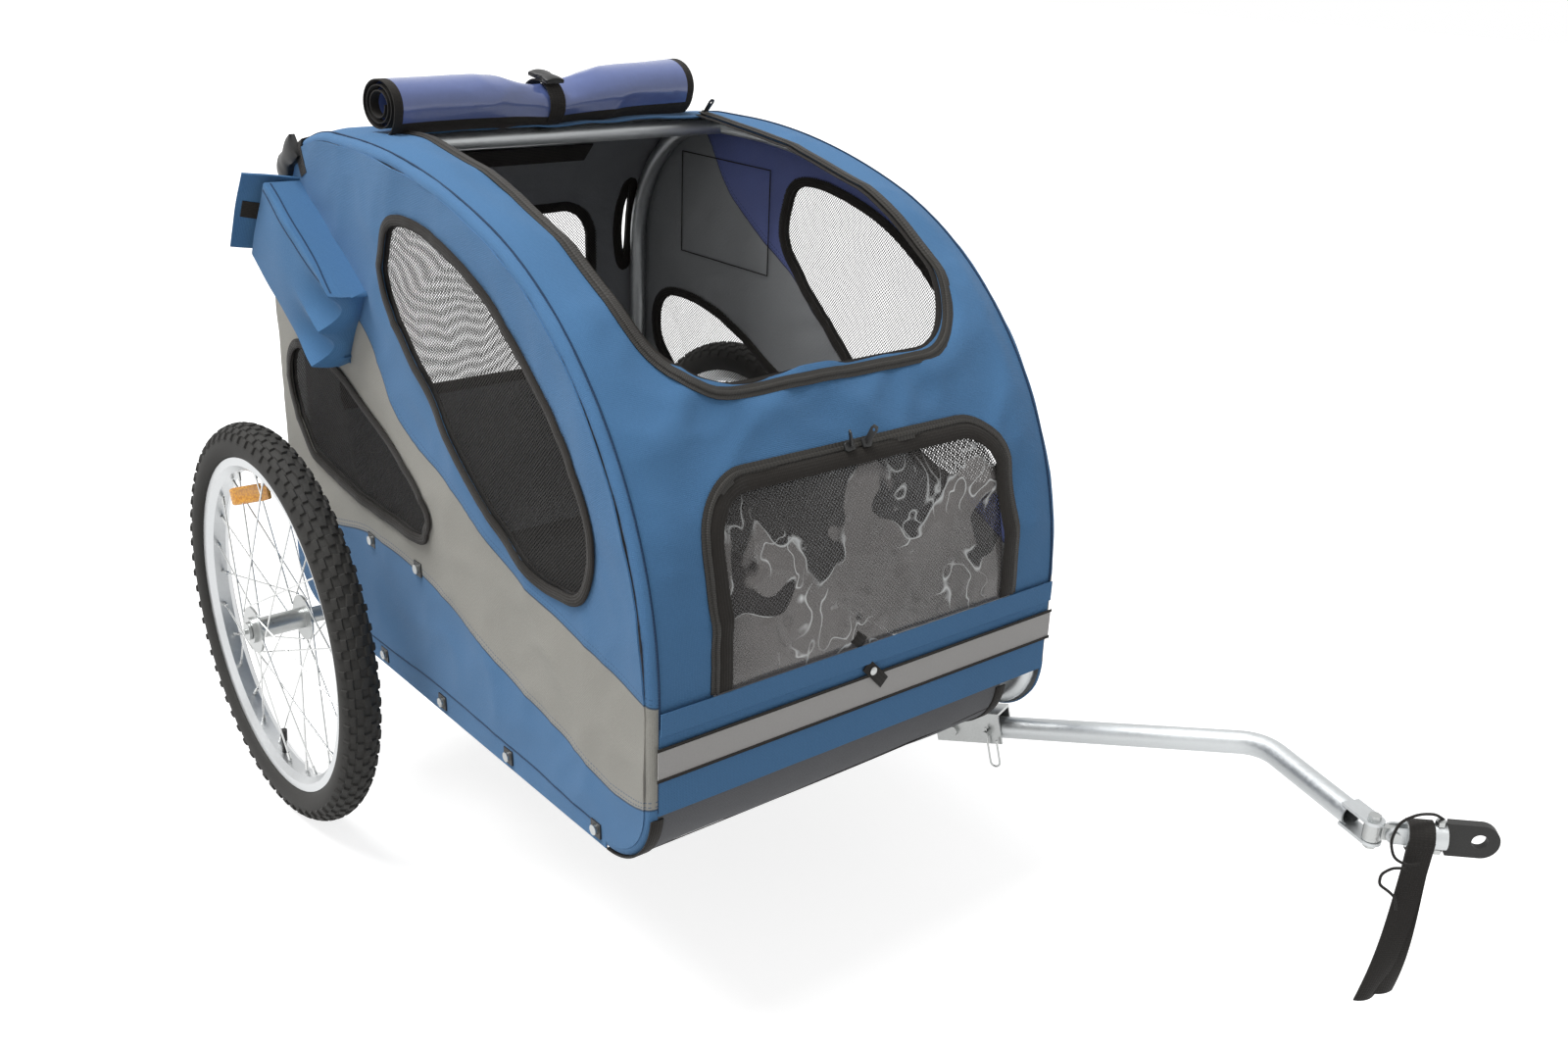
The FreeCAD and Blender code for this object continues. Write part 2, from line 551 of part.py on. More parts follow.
def outline_spots(shares):
    length, height = S.front_x - S.rear_x, top_z - S.rail_z
    return [V(S.rear_x + fore * length, 0, S.rail_z + up * height) for fore, up in shares]


def window_prism(shares, lap, y, depth):
    """A prism across the trailer over a smooth closed curve, widened by a lap."""
    spots = outline_spots(shares)
    middle = sum(spots, V()) * (1 / len(spots))
    curve = Part.BSplineCurve()
    curve.interpolate(Points=[spot + (spot - middle).normalize() * lap for spot in spots], PeriodicFlag=True)
    prism = Part.Face(Part.Wire(curve.toShape())).extrude(ACROSS * depth)
    prism.translate(ACROSS * y)
    return prism


side_face = Part.Face(Part.Wire(edges_of(BOW_RUN + FOOT_RUN, S.cover_grow)))
for side, sign in SIDES.items():
    wall_y = min(sign * cover_y, sign * (cover_y - S.cloth))
    wall = side_face.extrude(ACROSS * S.cloth)
    wall.translate(ACROSS * wall_y)
    for shares in WINDOWS:
        wall = wall.cut(window_prism(shares, 0, wall_y - S.over, S.cloth + 2 * S.over))
    panel = solid(f"side_wall_{side}", wall)
    keep(f"side_cover_{side}", cut(f"side_cover_{side}", panel, *cover_holes[side]))
    mesh_y = min(sign * cover_half, sign * (cover_half - S.mesh_wall))
    nets = [window_prism(shares, S.mesh_lap, mesh_y, S.mesh_wall) for shares in WINDOWS]
    keep(f"side_mesh_{side}", solid(f"side_mesh_{side}", Part.makeCompound(nets)))


# Cloth over the outline, with the door way, the roof mouth and the rear window
def upright(across, up):
    return V(0, across, up)


def level(across, fore):
    return V(fore, across, S.bow_z)


def door_prism(inset):
    return arch_prism(S.door_half_width - inset, S.door_low_z + inset, S.door_high_z - inset,
                      S.door_corner_r - inset, upright, V(2 * S.front_x, 0, 0))


def rear_prism(grow):
    return arch_prism(S.rear_window_half + grow, S.rear_window_low_z - grow, S.rear_window_high_z + grow,
                      S.rear_window_r + grow, upright, V(2 * S.rear_x, 0, 0))


mouth = arch_prism(S.roof_mouth_half, mouth_rear_x, S.roof_mouth_front_x, S.roof_mouth_r,
                   level, UP * top_z)
FRONT_RUN = [(front_wall, S.band_top_z, S.bow_z), (bow, 0, S.front_top_angle)]
ROOF_RUN = [(bow, S.front_top_angle, S.bow_angle), (crown, S.bow_angle, 90),
            (roof, crown_x, mouth_rear_x)]
REAR_RUN = [(roof, mouth_rear_x, rear_top_x), (rear_top, 90, 180), (rear_wall, rear_top_z, corner_z),
            (rear_corner, 180, 270)]
NET_RUN = [(rear_top, 90, 180), (rear_wall, rear_top_z, corner_z)]
net_out = cloth_in - S.slip_gap
pane_prism = door_prism(S.door_rim + S.slip_gap)
front_sheet = sheet_over(FRONT_RUN, cover_half)
pane_sheet = sheet_over(FRONT_RUN, cover_half, S.cover_grow - S.vinyl_wall, S.cover_grow)
lining_sheet = sheet_over(FRONT_RUN, cover_half, cloth_in, cloth_in + S.mesh_wall)
net_sheet = sheet_over(NET_RUN, cover_half, net_out - S.mesh_wall, net_out)
apron_end = Part.makeBox(2 * S.front_x, 2 * S.apron_gap, top_z, V(0, cover_half - S.apron_gap, 0))
CLOTHS = {
    "front_apron": sheet_over([(front_corner, -90, 0)], cover_half).cut(apron_end),
    "front_band": sheet_over([(front_wall, corner_z, S.band_top_z)], cover_half),
    "reflective_strip": sheet_over([(front_wall, S.strip_low_z, S.strip_high_z)], cover_half, S.cover_grow,
                                   S.cover_grow + S.trim_wall),
    "front_cover": front_sheet.cut(door_prism(-S.door_gap)).cut(mouth),
    "roof_strips": sheet_over(ROOF_RUN, cover_half).cut(mouth),
    "rear_cover": sheet_over(REAR_RUN, cover_half).cut(rear_prism(0)),
    "rear_mesh": net_sheet.common(rear_prism(S.mesh_lap)),
    "door_binding": front_sheet.common(door_prism(0)).cut(door_prism(S.door_rim)),
    "door_window": pane_sheet.common(pane_prism),
    "door_mesh": lining_sheet.common(pane_prism),
}
for name, shape in CLOTHS.items():
    keep(name, solid(name, shape))


def slider(name, place):
    """A zip slider: a low body with a flat pull."""
    body = block(name + "_body", "zip_slider_length / 2", "zip_slider_width", "zip_slider_wall")
    pull = block(name + "_pull", "zip_slider_length", "zip_slider_width / 3", "zip_slider_wall / 3",
                 moved(0, S.zip_slider_width / 3, S.zip_slider_wall))
    whole = fuse(name, body, pull)
    whole.Placement = place
    return whole


slider_turn = math.degrees(math.asin((S.door_high_z - S.door_rim / 2 - S.bow_z) / (S.bow_r + S.cover_grow)))
slider_out = V(cos(slider_turn), 0, sin(slider_turn))
slider_point = V(bow_x, 0, S.bow_z) + slider_out * (S.bow_r + S.cover_grow + S.slip_gap)
keep("zip_sliders", group("zip_sliders", [
    slider(f"zip_slider_{side}", frame_at(slider_point, ACROSS * sign, slider_out).multiply(
        moved(S.slip_gap, -S.zip_slider_width / 2))) for side, sign in SIDES.items()]))

# Rolled rain cover: a spiral of cloth with a strap and a buckle round its middle
roll_z = top_z + S.cover_grow + S.roll_r + S.strap_wall + 2 * S.seat_gap
roll_point = V(rear_top_x + S.roll_fore, -S.roll_shift, roll_z)
roll_place = FreeCAD.Placement(roll_point - origin, FreeCAD.Rotation(UP, S.roll_skew))


def spiral(drop):
    count = int(S.roll_steps)
    curve = Part.BSplineCurve()
    spots = []
    for step in range(count + 1):
        radius = S.roll_r - drop - (S.roll_r - S.roll_core_r) * step / count
        turn = 360 * S.roll_turns * step / count - 90
        spots.append(V(radius * cos(turn), 0, radius * sin(turn)))
    curve.interpolate(spots)
    return curve.toShape()


outside, inside = spiral(0), spiral(S.roll_wall)
lips = [Part.makeLine(a, b) for a, b in zip(end_points([outside]), end_points([inside]))]
roll_shape = Part.Face(Part.Wire(Part.__sortEdges__([outside, inside] + lips))).extrude(ACROSS * S.roll_length)
roll_shape.translate(ACROSS * (-S.roll_length / 2))
keep("roof_roll", solid("roof_roll", roll_shape, roll_place))
strap_place = roll_place.multiply(moved(y=-S.strap_width / 2, turn=ALONG_Y))
keep("roll_strap", cut("roll_strap",
                       cylinder("loop_outside", "roll_r + seat_gap + strap_wall", "strap_width", strap_place),
                       cylinder("loop_inside", "roll_r + seat_gap", "strap_width", strap_place)))


def buckle(name, length, width, wall, place):
    """A side-release buckle: a flat shell with a waist at each side and a slot for the webbing."""
    long, wide = number_of(length), number_of(width)
    shell = block(name + "_shell", length, width, wall)
    waists = [cylinder(f"{name}_waist_{index}", f"{width} / 5", f"{wall} * 3", moved(long / 2, y, -S.over))
              for index, y in enumerate((0, wide))]
    slot = block(name + "_slot", f"{length} / 8", f"{width} / 2", f"{wall} * 3",
                 moved(long / 8, wide / 4, -S.over))
    whole = cut(name, shell, *waists, slot)
    whole.Placement = place.multiply(moved(-long / 2, -wide / 2))
    return whole


clasp_place = roll_place.multiply(moved(turn=FreeCAD.Rotation(ACROSS, 90 - S.buckle_turn))).multiply(
    moved(z=S.roll_r + 2 * S.seat_gap + S.strap_wall))
keep("roll_buckle", buckle("roll_buckle", "buckle_length", "buckle_width", "buckle_wall", clasp_place))
clasp_r = rear_r + S.corner_buckle_rise
clasp_spot = V(rear_top_x, 0, rear_top_z) + V(cos(S.corner_buckle_at), 0, sin(S.corner_buckle_at)) * clasp_r
clasp_dir = V(cos(S.corner_buckle_turn), 0, sin(S.corner_buckle_turn))
keep("corner_buckles", group("corner_buckles", [
    buckle(f"corner_buckle_{side}", "corner_buckle_length", "corner_buckle_width", "corner_buckle_wall",
           frame_at(clasp_spot + ACROSS * (sign * (cover_y + S.seat_gap)), clasp_dir, ACROSS * sign))
    for side, sign in SIDES.items()]))

# Side pocket with a gusset, open at its upper end, and the flap of that end
pocket_dir = V(cos(S.pocket_turn), 0, -sin(S.pocket_turn))
pocket_up = V(sin(S.pocket_turn), 0, cos(S.pocket_turn))
pocket_top = clasp_spot + V(S.pocket_fore, 0, -S.pocket_below) - ACROSS * (cover_y + S.seat_gap)
pocket_place = frame_at(pocket_top + pocket_dir * S.pocket_length - pocket_up * S.pocket_height,
                        pocket_dir * -1, pocket_up)
pocket_skin = padded("pocket_skin", "YZ_Plane",
                     [("", ""), ("pocket_fold", "pocket_gusset"), ("pocket_depth", ""),
                      ("pocket_depth", "pocket_height"), ("", "pocket_height")], "pocket_length", pocket_place)
pocket_room = padded("pocket_room", "YZ_Plane",
                     [("cloth", "pocket_in_low"), ("pocket_in_deep", "pocket_in_low"),
                      ("pocket_in_deep", "pocket_in_high"), ("cloth", "pocket_in_high")], "pocket_in_length",
                     pocket_place.multiply(moved(S.cloth)))
keep("side_pocket", cut("side_pocket", pocket_skin, pocket_room))
flap_dir = pocket_dir * -cos(S.flap_open) - ACROSS * sin(S.flap_open)
flap_point = pocket_top - pocket_dir * (S.flap_gap + S.flap_wall) - pocket_up * S.pocket_height
keep("pocket_flap", block("pocket_flap", "flap_length", "flap_wall", "pocket_height",
                          frame_at(flap_point, flap_dir, pocket_up)))

# Cover screws on square washers, along the hem and above the wheel
screw_shares = [(0.903, 0), (0.686, 0), (0.498, 0), (0.313, 0), (0.293, 0.243), (0.442, 0.252)]
washers, screws = [], []
for side, sign in SIDES.items():
    for index, spot in enumerate(outline_spots(screw_shares)):
        seat = frame_at(spot + ACROSS * (sign * cover_y), V(1, 0, 0), ACROSS * sign)
        washers.append(block(f"washer_{side}_{index}", "washer_side", "washer_side", "washer_wall",
                             seat.multiply(moved(-S.washer_side / 2, -S.washer_side / 2))))
        screws.append(cylinder(f"screw_{side}_{index}", "screw_head_od / 2", "screw_head_height",
                               seat.multiply(moved(z=S.washer_wall))))
keep("cover_washers", group("cover_washers", washers))
keep("cover_screws", group("cover_screws", screws))

# Tow bracket: a folded channel under the left rail, in a frame along the tow bar
tow_place = frame_at(tow_pivot, tow_dir, tow_up)


def on_tow(x=0, y=0, z=0, turn=FreeCAD.Rotation()):
    return tow_place.multiply(moved(x, y, z, turn))


channel = padded("channel", "YZ_Plane",
                 [("", ""), ("bracket_wall", ""), ("bracket_wall", "bracket_under"),
                  ("bracket_inner", "bracket_under"), ("bracket_inner", ""), ("bracket_width", ""),
                  ("bracket_width", "bracket_height"), ("", "bracket_height")],
                 "bracket_length", on_tow(-S.bracket_back, -S.bracket_width / 2, -S.bracket_skirt))
stud_foot = tow_pivot + tow_dir * S.stud_at + tow_up * S.bracket_roof
stud = Part.makeCylinder(S.stud_od / 2, S.rail_z - stud_foot.z, stud_foot, UP)
rail_solid = Part.makeCylinder(tube_r, S.front_x, V(0, hoop_y, S.rail_z), V(1, 0, 0))
stud_solid = solid("stud", stud.cut(rail_solid))
bolt_hole = cylinder("tow_bolt_hole", "tow_bolt_od / 2 + run_gap", "bracket_width * 2",
                     on_tow(0, -S.bracket_width, 0, ALONG_Y))
pin_hole = cylinder("lock_pin_hole", "lock_pin_od / 2 + run_gap", "bracket_width * 2",
                    on_tow(S.lock_pin_pitch, -S.bracket_width, 0, ALONG_Y))
keep("tow_bracket", cut("tow_bracket", fuse("channel_and_stud", channel, stud_solid), bolt_hole, pin_hole))


def hex_end(name, od, height, place):
    end = doc.addObject("Part::Prism", name)
    end.Polygon = 6
    bind(end, Circumradius=od + " / 2", Height=height)
    end.Placement = place
    return end


def hex_bolt(name, od, grip, head_od, head_height, place):
    """A bolt along z through a grip that is centred on the place, with a head and a nut."""
    half = number_of(grip) / 2
    shank = cylinder(name + "_shank", od + " / 2", grip, place.multiply(moved(z=-half)))
    head = hex_end(name + "_head", head_od, head_height, place.multiply(moved(z=-half - number_of(head_height))))
    nut = hex_end(name + "_nut", head_od, head_height, place.multiply(moved(z=half)))
    return fuse(name, shank, head, nut)


keep("tow_pivot_bolt", hex_bolt("tow_pivot_bolt", "tow_bolt_od", "bracket_width", "bolt_head_od",
                                "bolt_head_height", on_tow(turn=ALONG_Y)))

# Tow tube: one bend, a bolt hole, a pin slot that is open upwards, and a fork at the front end
bend = math.degrees(tow_dir.getAngle(second_dir))
bend_reach = S.tow_bend_r * math.tan(math.radians(bend / 2))
inward = (second_dir - tow_dir).normalize()
bend_mid = tow_apex + inward * (S.tow_bend_r / cos(bend / 2) - S.tow_bend_r)
bend_start = tow_apex - tow_dir * bend_reach
bend_stop = tow_apex + second_dir * bend_reach
fork_root = swing_point - second_dir * S.fork_reach
tow_run = [Part.makeLine(tow_pivot - tow_dir * S.tow_tail, bend_start),
           Part.Arc(bend_start, bend_mid, bend_stop).toShape(), Part.makeLine(bend_stop, fork_root)]
tow_pipe = solid("tow_pipe", bent_tube(tow_run, S.tow_od, S.tow_wall))
swing_place = frame_at(swing_point, second_dir, UP)
fork = []
for name, z in (("top", tow_r - S.fork_wall), ("low", -tow_r)):
    fork.append(block(f"fork_arm_{name}", "fork_reach + fork_lap", "fork_width", "fork_wall",
                      swing_place.multiply(moved(-S.fork_reach - S.fork_lap, -S.fork_width / 2, z))))
    fork.append(cylinder(f"fork_end_{name}", "fork_width / 2", "fork_wall", swing_place.multiply(moved(z=z))))
pin_slot = block("pin_slot", "lock_pin_od + lock_pin_slack + 2 * slip_gap", "tow_od * 2", "tow_od * 2",
                 on_tow(S.lock_pin_pitch - S.lock_pin_od / 2 - S.slip_gap - S.lock_pin_slack, -S.tow_od,
                        -S.lock_pin_od / 2 - S.slip_gap))
swing_hole = cylinder("swing_hole", "swing_bolt_od / 2 + run_gap", "tow_od * 2",
                      swing_place.multiply(moved(z=-S.tow_od)))
keep("tow_tube", cut("tow_tube", fuse("pipe_and_fork", tow_pipe, *fork), bolt_hole, pin_slot, swing_hole))
keep("swing_bolt", hex_bolt("swing_bolt", "swing_bolt_od", "tow_od", "bolt_head_od", "bolt_head_height",
                            swing_place))

# Lock pin and its spring clip, which hangs below the pin
pin_start = -S.bracket_width / 2 - S.pin_proud
pin_blank = cylinder("lock_pin_blank", "lock_pin_od / 2", "bracket_width + pin_proud + pin_far_proud",
                     on_tow(S.lock_pin_pitch, pin_start, 0, ALONG_Y))
clip_place = on_tow(S.lock_pin_pitch, pin_start + S.pin_proud / 2)
clip_hole = cylinder("clip_hole", "clip_wire / 2 + run_gap", "lock_pin_od * 2",
                     clip_place.multiply(moved(z=-S.lock_pin_od)))
keep("lock_pin", cut("lock_pin", pin_blank, clip_hole))
clip_low = S.clip_rise - S.clip_length
clip_high, clip_end = V(0, 0, S.clip_rise), V(2 * S.clip_loop_r, 0, -S.clip_rise)
clip_turn = [V(0, 0, clip_low), V(S.clip_loop_r, 0, clip_low - S.clip_loop_r), V(2 * S.clip_loop_r, 0, clip_low)]
clip_run = [Part.makeLine(clip_high, clip_turn[0]), Part.Arc(*clip_turn).toShape(),
            Part.makeLine(clip_turn[2], clip_end)]
clip_ring = Part.Wire(Part.Circle(clip_high, UP, S.clip_wire / 2).toShape())
keep("spring_clip", solid("spring_clip", Part.Wire(clip_run).makePipeShell([clip_ring], True, False), clip_place))

# Hitch link: an upright eye on the swing bolt and a level eye on the tilt pin
link_place = frame_at(swing_point, hitch_flat, UP)


def on_link(x=0, y=0, z=0, turn=FreeCAD.Rotation()):
    return link_place.multiply(moved(x, y, z, turn))


link_eye = cylinder("link_eye", "link_eye_od / 2", "tow_od - 2 * fork_wall - 2 * hitch_gap",
                    on_link(z=S.fork_wall + S.hitch_gap - tow_r))
link_bar = block("link_bar", "link_arm", "link_arm_width", "link_arm_height",
                 on_link(0, -S.link_arm_width / 2, -S.link_arm_height / 2))
link_tip = cylinder("link_tip", "link_arm_height / 2", "link_arm_width",
                    on_link(S.link_arm, -S.link_arm_width / 2, 0, ALONG_Y))
tilt_hole = cylinder("tilt_hole", "tilt_pin_od / 2 + run_gap", "tow_od * 2",
                     on_link(S.link_arm, -S.tow_od, 0, ALONG_Y))
keep("hitch_link", cut("hitch_link", fuse("link_blank", link_eye, link_bar, link_tip), swing_hole, tilt_hole))
ear_out = S.link_arm_width / 2 + S.hitch_gap + S.ear_wall
tilt_half = ear_out + S.hitch_gap
tilt_shank = cylinder("tilt_shank", "tilt_pin_od / 2", "link_arm_width + 4 * hitch_gap + 2 * ear_wall",
                      on_link(S.link_arm, -tilt_half, 0, ALONG_Y))
tilt_heads = [cylinder(f"tilt_head_{name}", "tilt_head_od / 2", "tilt_head_width",
                       on_link(S.link_arm, y, 0, ALONG_Y))
              for name, y in (("near", -tilt_half - S.tilt_head_width), ("far", tilt_half))]
keep("tilt_pin", fuse("tilt_pin", tilt_shank, *tilt_heads))

# Hitch tube with two ears, the neck of the flat tongue in it and their upright bolt
hitch_place = frame_at(tilt_point, hitch_dir, hitch_up)


def on_hitch(x=0, y=0, z=0, turn=FreeCAD.Rotation()):
    return hitch_place.multiply(moved(x, y, z, turn))


barrel = cylinder("barrel", "tow_od / 2", "hitch_tube_length", on_hitch(S.hitch_tube_start, turn=ALONG_X))
barrel_bore = cylinder("barrel_bore", "tow_od / 2 - tow_wall", "hitch_tube_length",
                       on_hitch(S.hitch_tube_start + S.ear_wall, turn=ALONG_X))
ears = []
for name, y in (("near", -ear_out), ("far", ear_out - S.ear_wall)):
    ears.append(block(f"ear_{name}", "hitch_tube_start + ear_wall / 2", "ear_wall", "ear_height",
                      on_hitch(0, y, -S.ear_height / 2)))
    ears.append(cylinder(f"ear_end_{name}", "ear_height / 2", "ear_wall", on_hitch(0, y, 0, ALONG_Y)))
hitch_blank = fuse("hitch_blank", cut("barrel_shell", barrel, barrel_bore), *ears)
tongue_start = S.hitch_tube_start + S.hitch_tube_length - S.tongue_inside
barrel_front = S.hitch_tube_start + S.hitch_tube_length
bolt_at = barrel_front - S.hitch_bolt_inset
cross_hole = cylinder("hitch_bolt_hole", "hitch_bolt_od / 2 + run_gap", "tow_od * 2",
                      on_hitch(bolt_at, z=-S.tow_od))
keep("hitch_tube", cut("hitch_tube", hitch_blank, tilt_hole, cross_hole))
tongue_neck = block("tongue_neck", "tongue_inside + tongue_height / 2", "tongue_wall", "tongue_neck",
                    on_hitch(tongue_start, -S.tongue_wall / 2, -S.tongue_neck / 2))
tongue_body = block("tongue_body", "tongue_straight - slip_gap", "tongue_wall", "tongue_height",
                    on_hitch(barrel_front + S.slip_gap, -S.tongue_wall / 2, -S.tongue_height / 2))
tongue_nose = cylinder("tongue_nose", "tongue_height / 2", "tongue_wall",
                       on_hitch(barrel_front + S.tongue_straight, -S.tongue_wall / 2, 0, ALONG_Y))
eye_hole = cylinder("tongue_hole", "tongue_hole_od / 2", "tongue_wall * 2",
                    on_hitch(tongue_start + S.tongue_length - S.tongue_hole_inset, -S.tongue_wall, 0, ALONG_Y))
tongue_blank = fuse("tongue_blank", tongue_neck, tongue_body, tongue_nose)
keep("hitch_tongue", cut("hitch_tongue", tongue_blank, eye_hole, cross_hole))
keep("hitch_bolt", hex_bolt("hitch_bolt", "hitch_bolt_od", "tow_od", "nut_od", "nut_height",
                            on_hitch(bolt_at)))

# Safety strap: a loop of webbing round the hitch tube with a tail that hangs and sways a little
web_place = on_hitch(S.hitch_tube_start + S.webbing_inset)
web_in = tow_r + S.seat_gap
web_out = web_in + S.webbing_wall
web_loop = Part.makeCylinder(web_out, S.webbing_width, V(), V(1, 0, 0)).cut(
    Part.makeCylinder(web_in, S.webbing_width, V(), V(1, 0, 0)))
web_r = S.webbing_drop / 2 / sin(S.webbing_sway)
web_y = -(web_in + web_out) / 2


def web_spot(turn):
    return V(0, web_y + web_r * (1 - cos(turn)), -web_r * sin(turn))


web_middle = web_spot(S.webbing_sway)
web_near = [web_spot(S.webbing_sway * share) for share in (0, 0.5, 1)]
web_far = [web_middle * 2 - spot for spot in reversed(web_near)]
web_path = Part.Wire([Part.Arc(*web_near).toShape(), Part.Arc(*web_far).toShape()])
web_ends = [V(0, -web_out, 0), V(S.webbing_width, -web_out, 0), V(S.webbing_width, -web_in, 0), V(0, -web_in, 0)]
web_tail = web_path.makePipeShell([Part.makePolygon(web_ends + web_ends[:1])], True, False)
keep("safety_strap", solid("safety_strap", web_loop.fuse(web_tail), web_place))


# Write every node after a check of all objects
doc.recompute()
for thing in doc.Objects:
    if "Invalid" in thing.State or "Error" in thing.State:
        raise RuntimeError(f"{thing.Label} did not build")
for label, thing in nodes.items():
    if thing.Shape.isNull() or not thing.Shape.isValid():
        raise RuntimeError(f"{label} has no valid shape")
    thing.Shape.exportStep(f"parts/{label}.step")
box = Part.makeCompound([thing.Shape for thing in nodes.values()]).BoundBox
print(f"{len(nodes)} nodes, {box.XLength:.1f} x {box.YLength:.1f} x {box.ZLength:.1f} mm")
print(f"x {box.XMin:.2f} to {box.XMax:.2f}, y {box.YMin:.2f} to {box.YMax:.2f}, z {box.ZMin:.2f} to {box.ZMax:.2f}")
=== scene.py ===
# %% [markdown]
# # A dog trailer for a bicycle
# The CAD model gives the rigid frame, the wheels and the tow bar. This lesson dresses it: sewn cloth,
# netting, clear vinyl, webbing and knobby tyres, each placed in the CAD model's own frame. All lengths
# below are in millimetres from the wheel axle, as on the drawing, and one helper turns them into the
# scene's metres.

# %% Load the CAD frame
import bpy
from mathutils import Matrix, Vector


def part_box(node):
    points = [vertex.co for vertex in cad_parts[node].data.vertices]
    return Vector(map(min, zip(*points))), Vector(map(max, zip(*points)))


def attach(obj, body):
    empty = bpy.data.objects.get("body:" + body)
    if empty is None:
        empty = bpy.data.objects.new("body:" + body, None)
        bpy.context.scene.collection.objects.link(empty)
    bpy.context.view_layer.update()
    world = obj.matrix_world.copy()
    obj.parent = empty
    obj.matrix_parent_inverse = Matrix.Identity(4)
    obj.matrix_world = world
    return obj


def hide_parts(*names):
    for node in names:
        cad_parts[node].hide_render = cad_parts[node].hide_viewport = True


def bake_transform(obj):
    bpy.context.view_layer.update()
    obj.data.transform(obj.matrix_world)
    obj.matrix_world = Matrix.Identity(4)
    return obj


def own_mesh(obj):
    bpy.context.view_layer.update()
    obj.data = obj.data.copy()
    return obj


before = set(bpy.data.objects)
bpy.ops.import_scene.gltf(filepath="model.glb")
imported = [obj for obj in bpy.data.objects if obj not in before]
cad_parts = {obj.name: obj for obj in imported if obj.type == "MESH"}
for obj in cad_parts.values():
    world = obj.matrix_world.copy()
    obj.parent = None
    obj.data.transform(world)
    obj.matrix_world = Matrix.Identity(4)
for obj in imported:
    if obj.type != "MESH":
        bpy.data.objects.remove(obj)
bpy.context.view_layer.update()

import math
import bpy
import numpy as np
from mathutils import Matrix, Vector, noise

hub_low, hub_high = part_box("hub_right")
AXLE_X = (hub_low[0] + hub_high[0]) / 2
AXLE_Z = 253.0
SIDES = {"right": -1, "left": 1}
BODY = "trailer_body"
scene = bpy.context.scene


def metres(points):
    """Points in millimetres from the axle, as scene metres."""
    return np.asarray(points, float) / 1000 + np.array([AXLE_X, 0, 0])


def deselect():
    bpy.ops.object.select_all(action="DESELECT")


# %% [markdown]
# ## Camera
# The photograph was taken from the right front, a little above the roof. The camera's place was found by
# lining up the wheel's ellipse and the frame's square corners, so it is set as a matrix: its right, up and
# backward directions with a small roll. The lens follows from the angle of view on a 36 mm wide sensor.

# %% Camera at the photograph's place
CAMERA_AT = (1695.86, -977.14, 1082.36)
turn, lift, roll = math.radians(49.95), math.radians(21.56), math.radians(2.27)
back = Vector((math.sin(turn) * math.cos(lift), -math.cos(turn) * math.cos(lift), math.sin(lift)))
right = Vector((math.cos(turn), math.sin(turn), 0))
upward = back.cross(right)
rolled_right = right * math.cos(roll) + upward * math.sin(roll)
rolled_up = upward * math.cos(roll) - right * math.sin(roll)
camera_data = bpy.data.cameras.new("photo_camera")
camera_data.sensor_width, camera_data.lens = 36, 34.72
camera_data.clip_start, camera_data.clip_end = 0.05, 60
camera = bpy.data.objects.new("photo_camera", camera_data)
scene.collection.objects.link(camera)
camera_turn = Matrix((rolled_right, rolled_up, back)).transposed().to_4x4()
camera.matrix_world = Matrix.Translation(metres(CAMERA_AT).tolist()) @ camera_turn
scene.camera = camera
print("camera", tuple(round(value, 3) for value in camera.location))

# %% [markdown]
# ## Light and floor
# A product photograph has soft light from all round and more of it from above. A white world gives the even
# part, and two far soft lamps give the shading. Camera, mirror and see-through rays see the world as plain
# white, so the background stays white without any extra light on the cloth.

# %% World, lamps and floor
WHITE = (1, 1, 1, 1)
WORLD_LIGHT, FLOOR_GLOW = 0.38, 0.78


def add(tree, kind, links=(), **settings):
    """Add a node, set its properties, then link or set its inputs."""
    node = tree.nodes.new(kind)
    for key, value in settings.items():
        setattr(node, key, value)
    for socket, value in dict(links).items():
        if isinstance(value, bpy.types.NodeSocket):
            tree.links.new(value, node.inputs[socket])
        else:
            node.inputs[socket].default_value = value
    return node


def maths(tree, operation, *values):
    """The result of one Math node."""
    return add(tree, "ShaderNodeMath", dict(enumerate(values)), operation=operation).outputs[0]


def ramp(tree, value, low, high, first=0.0, last=1.0, **settings):
    """A value between low and high, as one between first and last."""
    stops = {0: value, 1: low, 2: high, 3: first, 4: last}
    return add(tree, "ShaderNodeMapRange", stops, **settings).outputs[0]


def finish(name, roughness, **sockets):
    """A material whose shader has its plain sockets set; returns it with its tree and shader."""
    material = bpy.data.materials.new(name)
    material.use_nodes = True
    shader = material.node_tree.nodes["Principled BSDF"]
    shader.inputs["Roughness"].default_value = roughness
    for key, value in sockets.items():
        shader.inputs[key.replace("_", " ")].default_value = value
    return material, material.node_tree, shader


def seen_by(tree, *rays):
    """1 for the rays that are named, 0 for others."""
    path = add(tree, "ShaderNodeLightPath").outputs
    value = path[rays[0]]
    for ray in rays[1:]:
        value = maths(tree, "MAXIMUM", value, path[ray])
    return value


scene.view_settings.view_transform = "Standard"
scene.world = bpy.data.worlds.new("studio")
scene.world.use_nodes = True
sky = scene.world.node_tree
seen = seen_by(sky, "Is Camera Ray", "Is Glossy Ray", "Is Transmission Ray")
sky.nodes["Background"].inputs["Color"].default_value = WHITE
sky.links.new(ramp(sky, seen, 0.0, 1.0, WORLD_LIGHT, 1.0), sky.nodes["Background"].inputs["Strength"])


